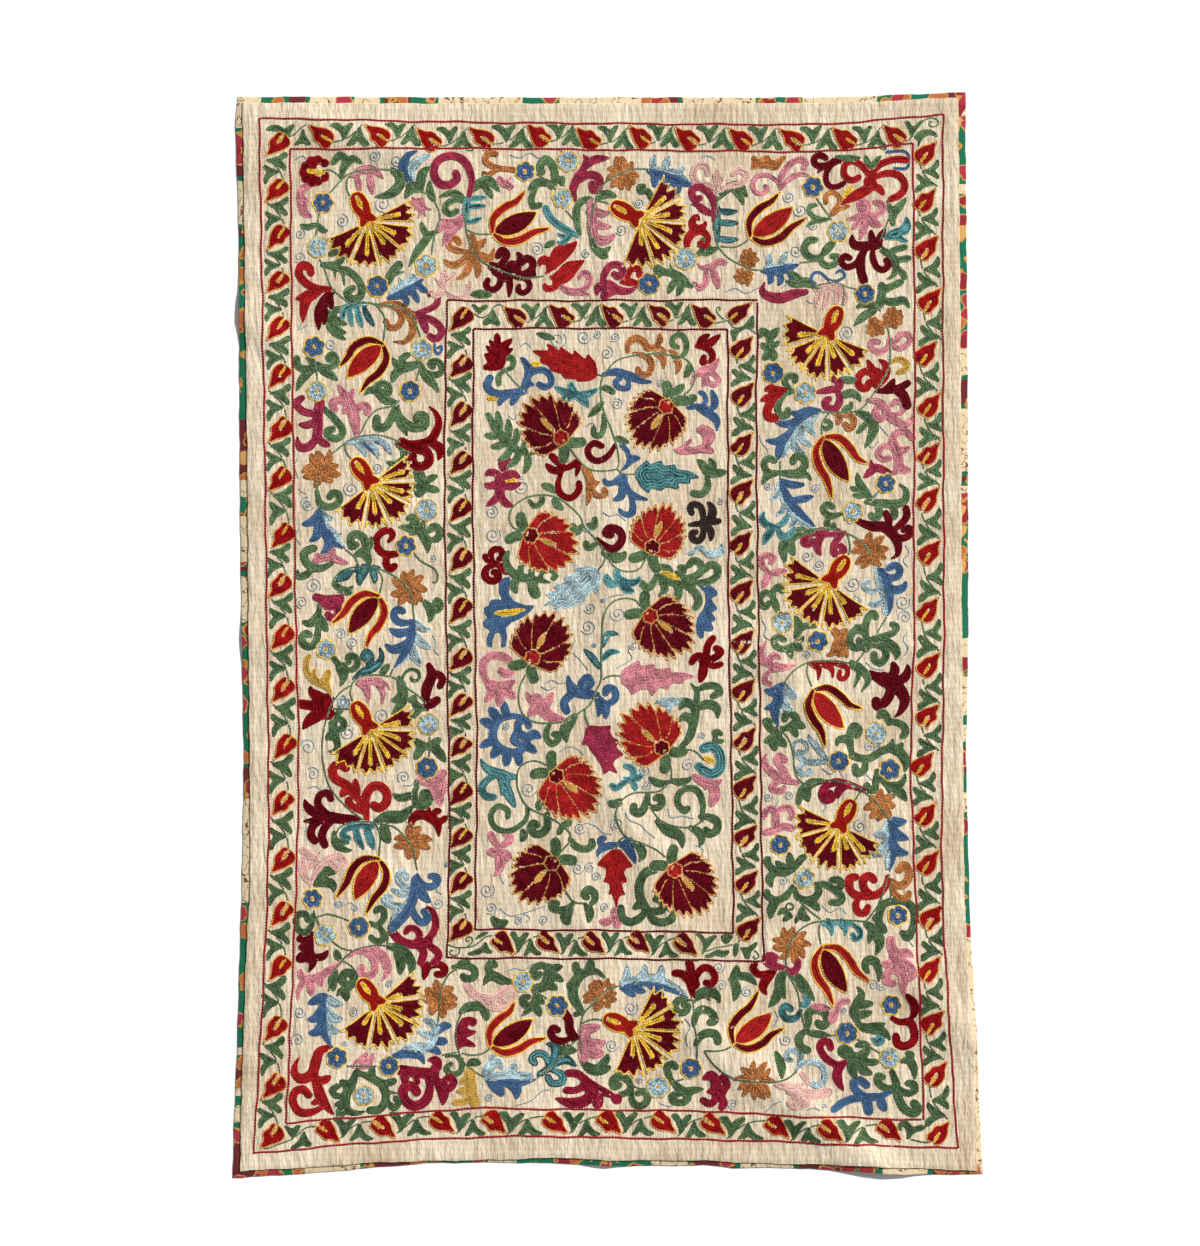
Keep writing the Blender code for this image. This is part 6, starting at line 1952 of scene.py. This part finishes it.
# %% Links that stand on the cloth
def smooth_noise(x, y, seed):
    """A slow wave over the cloth, from 0 to 1, different for every seed."""
    crossed = np.sin(x / 9.1 + seed) * np.sin(y / 7.7 + 2 * seed)
    rising = np.sin(x / 4.3 + y / 5.9 + 3 * seed) * 0.8
    falling = np.sin(x / 13.7 - y / 3.9 + seed) * 0.6
    return np.clip(0.5 + (crossed + rising + falling) / 3.2, 0, 1)


LINK_LIFT, BED_LIFT = 0.1, 0.16  # how far a link's foot and a bed stand above the cloth, in mm
SLOPE_STEP = 1.5  # mm between the two places that give the cloth's slope
# the beds are painted darker than the links above them: painted shade in the gaps between the rows
BED_PAINTED_SHADE = 0.55  # of the shade of the links above it


def stand_links(rows, rng):
    """Every link's corners, stretched from its start by its step and stood on the cloth, in mm."""
    x0, y0, dx, dy, width = rows.T
    long = np.hypot(dx, dy)
    ux, uy = dx / long, dy / long
    along, aside, up = (LINK_CO[:, k][None, :] for k in range(3))
    side = aside * width[:, None]
    x = x0[:, None] + ux[:, None] * long[:, None] * along - uy[:, None] * side
    y = y0[:, None] + uy[:, None] * long[:, None] * along + ux[:, None] * side
    middle_x, middle_y = x0 + dx / 2, y0 + dy / 2
    base = stand(middle_x, middle_y)
    slope_x = (stand(middle_x + SLOPE_STEP, middle_y) - base) / SLOPE_STEP
    slope_y = (stand(middle_x, middle_y + SLOPE_STEP) - base) / SLOPE_STEP
    z = base[:, None] + slope_x[:, None] * (x - middle_x[:, None]) + slope_y[:, None] * (y - middle_y[:, None])
    plump = rng.uniform(0.85, 1.1, len(rows))[:, None]
    z = z + LINK_LIFT + up * plump * np.minimum(1.0, width / ROW + 0.05)[:, None]
    return np.stack([x, y, z], 2).reshape(-1, 3)


def stand_beds(bed):
    """The four corners of every patch of a bed, in mm."""
    x, y = bed[:, [0, 2, 2, 0]], bed[:, [1, 1, 3, 3]]
    return np.stack([x, y, stand(x, y) + BED_LIFT], 2).reshape(-1, 3)

# %% One piece for each silk and part
def triangle_mesh(name, co, tri):
    """A smooth mesh from corners and a flat list of the triangles' corner numbers."""
    mesh = bpy.data.meshes.new(name)
    faces = len(tri) // 3
    mesh.vertices.add(len(co))
    mesh.vertices.foreach_set("co", co.astype(np.float32).ravel())
    mesh.loops.add(faces * 3)
    mesh.loops.foreach_set("vertex_index", tri.astype(np.int32))
    mesh.polygons.add(faces)
    mesh.polygons.foreach_set("loop_start", (np.arange(faces) * 3).astype(np.int32))
    mesh.polygons.foreach_set("use_smooth", np.ones(faces, bool))
    mesh.update(calc_edges=True)
    return mesh


def thread_piece(name, colour, part, rows, seed):
    """All the links of one silk in one part of the cloth, with the beds under them."""
    rng = np.random.default_rng(seed)
    tone = [np.full(len(row), (-1) ** k * rng.uniform(0.3, 1.0)) for k, row in enumerate(rows)]
    rows = np.vstack(rows)
    count, n = len(rows), len(LINK_CO)
    co = stand_links(rows, rng) * MM
    tri = (LINK_TRI[None, :, :] + n * np.arange(count)[:, None, None]).reshape(-1)
    bed = np.array(beds.get((colour, part), []), float).reshape(-1, 4)
    if len(bed):
        corner = len(co) + 4 * np.arange(len(bed))[:, None]
        co = np.vstack([co, stand_beds(bed) * MM])
        tri = np.concatenate([tri, (corner + np.array([0, 1, 2, 0, 2, 3])).reshape(-1)])
    mesh = triangle_mesh(name, co, tri)

    vary, streak, striped = THREADS[colour][1:]
    shade = 1.0 + striped * np.concatenate(tone) + rng.uniform(-1.5 * vary, 1.5 * vary, count)
    shade = shade + streak * (smooth_noise(rows[:, 0], rows[:, 1], seed) - 0.5) * 2
    if colour in ("leaf_green", "stem"):
        # the skeins of green used lower down the cloth were dyed darker
        shade *= 1.16 - 0.34 * smooth((300 - rows[:, 1]) / 700.0)
    shade = np.repeat(np.clip(shade, 0.15, 2.0), n)
    # the beds take a darker shade than their links: painted shade where the rows leave gaps
    if len(bed):
        shade = np.concatenate([shade, np.full(4 * len(bed), BED_PAINTED_SHADE * float(shade.mean()))])
    layer = mesh.attributes.new("shade", "FLOAT", "POINT")
    layer.data.foreach_set("value", shade.astype(np.float32))
    uv = mesh.uv_layers.new(name="OFBake")
    flat = np.stack([co[tri, 0] / BAKE_WIDE + 0.5, co[tri, 1] / BAKE_TALL + 0.5], 1)
    uv.data.foreach_set("uv", flat.astype(np.float32).ravel())
    piece = bpy.data.objects.new(name, mesh)
    bpy.context.scene.collection.objects.link(piece)
    mesh.materials.append(SILKS[colour])
    return piece, len(tri) // 3


stitched, total = [], 0
for number, ((colour, part), rows) in enumerate(sorted(threads.items())):
    piece, faces = thread_piece(f"stitches_{colour}_{part or 'lines'}", colour, part, rows, number + 1)
    stitched.append(piece)
    total += faces
print(len(stitched), "thread pieces,", total, "faces")

# %% [markdown]
# ## The cotton ground and the printed lining
#
# The ground is hand-woven from uneven yarn, so it shows fine upright crinkles, a weave and slight
# changes of colour. All of it is finer than the mesh, so bump and colour carry it, on Object
# coordinates, stretched along the warp. The colour is also painted darker in the crinkles and in broad
# blotches: painted shade of the crinkles and folds.

# %% The ground's cotton
def weave_bump(paint, shader, where, warp_scale, strength, distance):
    """Upright crinkles and the crossing yarns, joined into one bump."""
    stretched = add(paint, "Mapping", {"Vector": where, "Scale": (1.0, 0.24, 1.0)}).outputs["Vector"]
    rib = add(paint, "TexNoise", {"Vector": stretched, "Scale": warp_scale, "Detail": 4.0, "Roughness": 0.6})
    yarn = {"Vector": where, "Scale": 190.0, "Distortion": 1.2, "Detail": 1.0}
    warp, weft = (add(paint, "TexWave", yarn, wave_type="BANDS", bands_direction=way) for way in "XY")
    crossed = add(paint, "Math", {0: warp.outputs["Fac"], 1: weft.outputs["Fac"]}, operation="ADD")
    fine = add(paint, "Math", {0: crossed.outputs[0], 1: 0.12, 2: rib.outputs["Fac"]}, operation="MULTIPLY_ADD")
    broad = add(paint, "TexNoise", {"Vector": stretched, "Scale": 0.42 * warp_scale, "Detail": 2.0})
    height = add(paint, "Math", {0: broad.outputs["Fac"], 1: 1.8, 2: fine.outputs[0]}, operation="MULTIPLY_ADD")
    bump = add(paint, "Bump", {"Strength": strength, "Distance": distance, "Height": height.outputs[0]})
    paint.node_tree.links.new(bump.outputs["Normal"], shader.inputs["Normal"])
    return rib.outputs["Fac"]


def cotton(name):
    """Cream cotton, with painted shade: darker in its crinkles, and in soft blotches that are partly the yarn's
    own colour and partly painted shade.
    """
    paint, shader = new_paint(name, 0.92, 0.15)
    where = add(paint, "TexCoord", {}).outputs["Object"]
    rib = weave_bump(paint, shader, where, 230.0, 1.0, 0.0022)
    blotch_and_painted_shade = add(paint, "TexNoise", {"Vector": where, "Scale": 9.0, "Detail": 5.0}).outputs["Fac"]
    both = add(paint, "Math", {0: rib, 1: blotch_and_painted_shade}, operation="ADD").outputs[0]
    half = add(paint, "Math", {0: both, 1: 0.5}, operation="MULTIPLY").outputs[0]
    # the ramp's dark end paints shade into the crinkles and blotches, on top of the cotton's own changes of
    # colour
    ramp = add(paint, "ValToRGB", {"Fac": half})
    for stop, position, dye in zip(ramp.color_ramp.elements, (0.30, 0.68), (0xC3AA89, 0xF8E9CE)):
        stop.position, stop.color = position, (*linear(dye), 1)
    paint.node_tree.links.new(ramp.outputs["Color"], shader.inputs["Base Color"])
    return paint


ground.data.materials.append(cotton("crinkled_cotton_painted_shade"))
print(ground.name, "takes", ground.data.materials[0].name)

# %% Which print lies where
# The print along each side's rim: where a stretch starts, in chart units, and what is printed there.
# 0 is cream with thin lines, 1 green with blotches and 2 dark red and ochre.
PRINT = {
    "left": """
     95 0 127 2 180 0 228 2 240 1 415 2 475 0 495 1 520 0 560 2 575 0 620 1 770 2 800 0 900 1 1045 0
     1060 2 1085 0 1100 1 1110 0 1125 2 1180""",
    "right": """
     95 0 115 1 180 0 195 1 350 0 375 2 410 0 470 2 480 0 490 1 640 0 660 1 680 0 715 1 725 0 745 2
     775 1 795 0 810 1 935 0 1180""",
    "top": """
     230 0 262 1 292 2 310 0 338 1 352 0 380 2 410 1 440 0 520 1 560 0 640 2 680 0 760 1 800 0 880 1
     930 2 990""",
    "bottom": """
     230 2 262 1 300 0 365 2 420 1 485 0 520 1 650 0 690 2 738 0 800 2 840 1 880 0 930 2 990""",
}
RIM_EAST, RIM_WEST, RIM_NORTH, RIM_SOUTH = 505, -505, 740, -735  # about where the rim's sides are, in mm


def print_at(side, along):
    """Which print lies at a place along one side."""
    numbers = [float(n) for n in PRINT[side].split()]
    starts, prints = numbers[0::2], np.array(numbers[1::2])
    return prints[np.clip(np.searchsorted(starts, along) - 1, 0, len(prints) - 1)]


co = np.array([vert.co[:2] for vert in back.data.vertices]) / MM
across, down = co[:, 0] / UNIT + MIDDLE_ACROSS, MIDDLE_DOWN - co[:, 1] / UNIT
inward = (co[:, 0] - RIM_WEST, RIM_EAST - co[:, 0], RIM_NORTH - co[:, 1], co[:, 1] - RIM_SOUTH)
nearest = np.stack(inward, 1).argmin(1)
along = (down, down, across, across)
figured = np.select([nearest == k for k in range(4)], [print_at(*row) for row in zip(PRINT, along)])
layer = back.data.attributes.new("print", "FLOAT", "POINT")
layer.data.foreach_set("value", (figured / 2).astype(np.float32))
print("lining with a figured print:", round(float((figured > 0).mean()), 2))

# %% The lining's print
def stepped(paint, stops, source):
    """A ramp of flat colours, each from its position on."""
    ramp = add(paint, "ValToRGB", {"Fac": source})
    ramp.color_ramp.interpolation = "CONSTANT"
    ramp.color_ramp.elements[0].color = (*linear(stops[0][1]), 1)
    ramp.color_ramp.elements[1].position = stops[1][0]
    ramp.color_ramp.elements[1].color = (*linear(stops[1][1]), 1)
    for position, code in stops[2:]:
        ramp.color_ramp.elements.new(position).color = (*linear(code), 1)
    return ramp.outputs["Color"]


def laid_over(paint, factor, under, over):
    """One colour over another where the factor is 1. Each is a dye or a socket."""
    under, over = ((*linear(dye), 1) if isinstance(dye, int) else dye for dye in (under, over))
    return add(paint, "Mix", {"Factor": factor, "A": under, "B": over}, data_type="RGBA").outputs["Result"]


def reckoned(paint, operation, source, number):
    """A sum or a comparison of a socket with a number."""
    return add(paint, "Math", {0: source, 1: number}, operation=operation).outputs[0]


def printed(name):
    """A roller print: blotches edged in ochre on green, on dark red, and thin lines on cream."""
    paint, shader = new_paint(name, 0.9, 0.15)
    where = add(paint, "TexCoord", {}).outputs["Object"]
    weave_bump(paint, shader, where, 300.0, 0.5, 0.0008)
    wave = add(paint, "TexNoise", {"Vector": where, "Scale": 55.0})
    bend = {0: wave.outputs["Color"], 1: (0.02, 0.02, 0.0), 2: where}
    bent = add(paint, "VectorMath", bend, operation="MULTIPLY_ADD").outputs["Vector"]
    blobs = add(paint, "TexVoronoi", {"Vector": bent, "Scale": 42.0})
    pick = add(paint, "SeparateColor", {"Color": blobs.outputs["Color"]}).outputs["Red"]
    figure = add(paint, "Attribute", {}, attribute_name="print").outputs["Fac"]
    dye = stepped(paint, ((0.0, 0xA63440), (0.34, 0xB8683A), (0.62, 0xD0A060), (0.74, 0x8E2A30)), pick)
    field = stepped(paint, ((0.0, 0xDCC8A2), (0.25, 0x1E6A4C), (0.75, 0x6A2A2A)), figure)
    far = blobs.outputs["Distance"]
    edged = laid_over(paint, reckoned(paint, "LESS_THAN", far, 0.50), field, 0xC09048)
    filled = laid_over(paint, reckoned(paint, "LESS_THAN", far, 0.42), edged, dye)
    # a thin line where the noise is within a hair of its middle
    off = reckoned(paint, "ABSOLUTE", reckoned(paint, "SUBTRACT", wave.outputs["Fac"], 0.5), 0.0)
    plain = laid_over(paint, reckoned(paint, "LESS_THAN", off, 0.012), 0xDCC8A2, 0x7A4A34)
    final = laid_over(paint, reckoned(paint, "GREATER_THAN", figure, 0.25), plain, filled)
    paint.node_tree.links.new(final, shader.inputs["Base Color"])
    return paint


back.data.materials.append(printed("printed_cotton"))
print(back.name, "takes", back.data.materials[0].name)

# %% [markdown]
# ## Riding on the frame
#
# The two sheets stand for the two solids of the frame, and every thread piece lies on the front one.

for piece in [ground, back] + stitched:
    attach(piece, "root")
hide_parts("front_cloth")
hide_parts("lining")

# %% [markdown]
# ## Floor, light and camera
#
# The cloth is shown from straight above on a white floor. A key light from the upper right rakes
# across the folds, and a bright plain world fills the shadows.

# %% The studio
FLOOR_REACH, FLOOR_DROP = 4.0, 0.0003  # from the middle to each side, and under the cloth, in m
bm = bmesh.new()
bmesh.ops.create_grid(bm, x_segments=1, y_segments=1, size=FLOOR_REACH)
bmesh.ops.translate(bm, verts=bm.verts[:], vec=(0, 0, -FLOOR_DROP))
mesh = bpy.data.meshes.new("floor")
bm.to_mesh(mesh)
bm.free()
floor = bpy.data.objects.new("floor", mesh)
bpy.context.scene.collection.objects.link(floor)
paint, shader = new_paint("floor", 0.9, 0.5)
shader.inputs["Base Color"].default_value = (0.95, 0.95, 0.95, 1)
mesh.materials.append(paint)

world = bpy.data.worlds.new("studio")
bpy.context.scene.world = world
world.use_nodes = True
world.node_tree.nodes["Background"].inputs["Color"].default_value = (1.0, 1.0, 1.0, 1)
world.node_tree.nodes["Background"].inputs["Strength"].default_value = 0.27

sun = bpy.data.lights.new("key", "SUN")
sun.energy = 5.6
sun.angle = math.radians(4)
key = bpy.data.objects.new("key", sun)
bpy.context.scene.collection.objects.link(key)
key.location = (2.2, 2.0, 1.6)
key.rotation_euler = key.location.to_track_quat("Z", "Y").to_euler()
print("key light at", tuple(round(c, 2) for c in key.location))

# %% The camera
HEIGHT = 3.4  # of the camera over the floor, in m
FRAMED_HEIGHT = 1.707  # what the picture shows from top to bottom, in m
MIDDLE_HEIGHT = 0.003  # at which it shows that much
SENSOR = 24.0
camera_data = bpy.data.cameras.new("camera")
camera = bpy.data.objects.new("camera", camera_data)
bpy.context.scene.collection.objects.link(camera)
camera.location = (-11.2 * MM, 15.8 * MM, HEIGHT)
camera_data.sensor_fit = "VERTICAL"
camera_data.sensor_height = SENSOR
camera_data.lens = SENSOR * (HEIGHT - MIDDLE_HEIGHT) / FRAMED_HEIGHT
bpy.context.scene.camera = camera
bpy.context.scene.view_settings.view_transform = "Standard"
print("lens", round(camera_data.lens, 2), "mm")
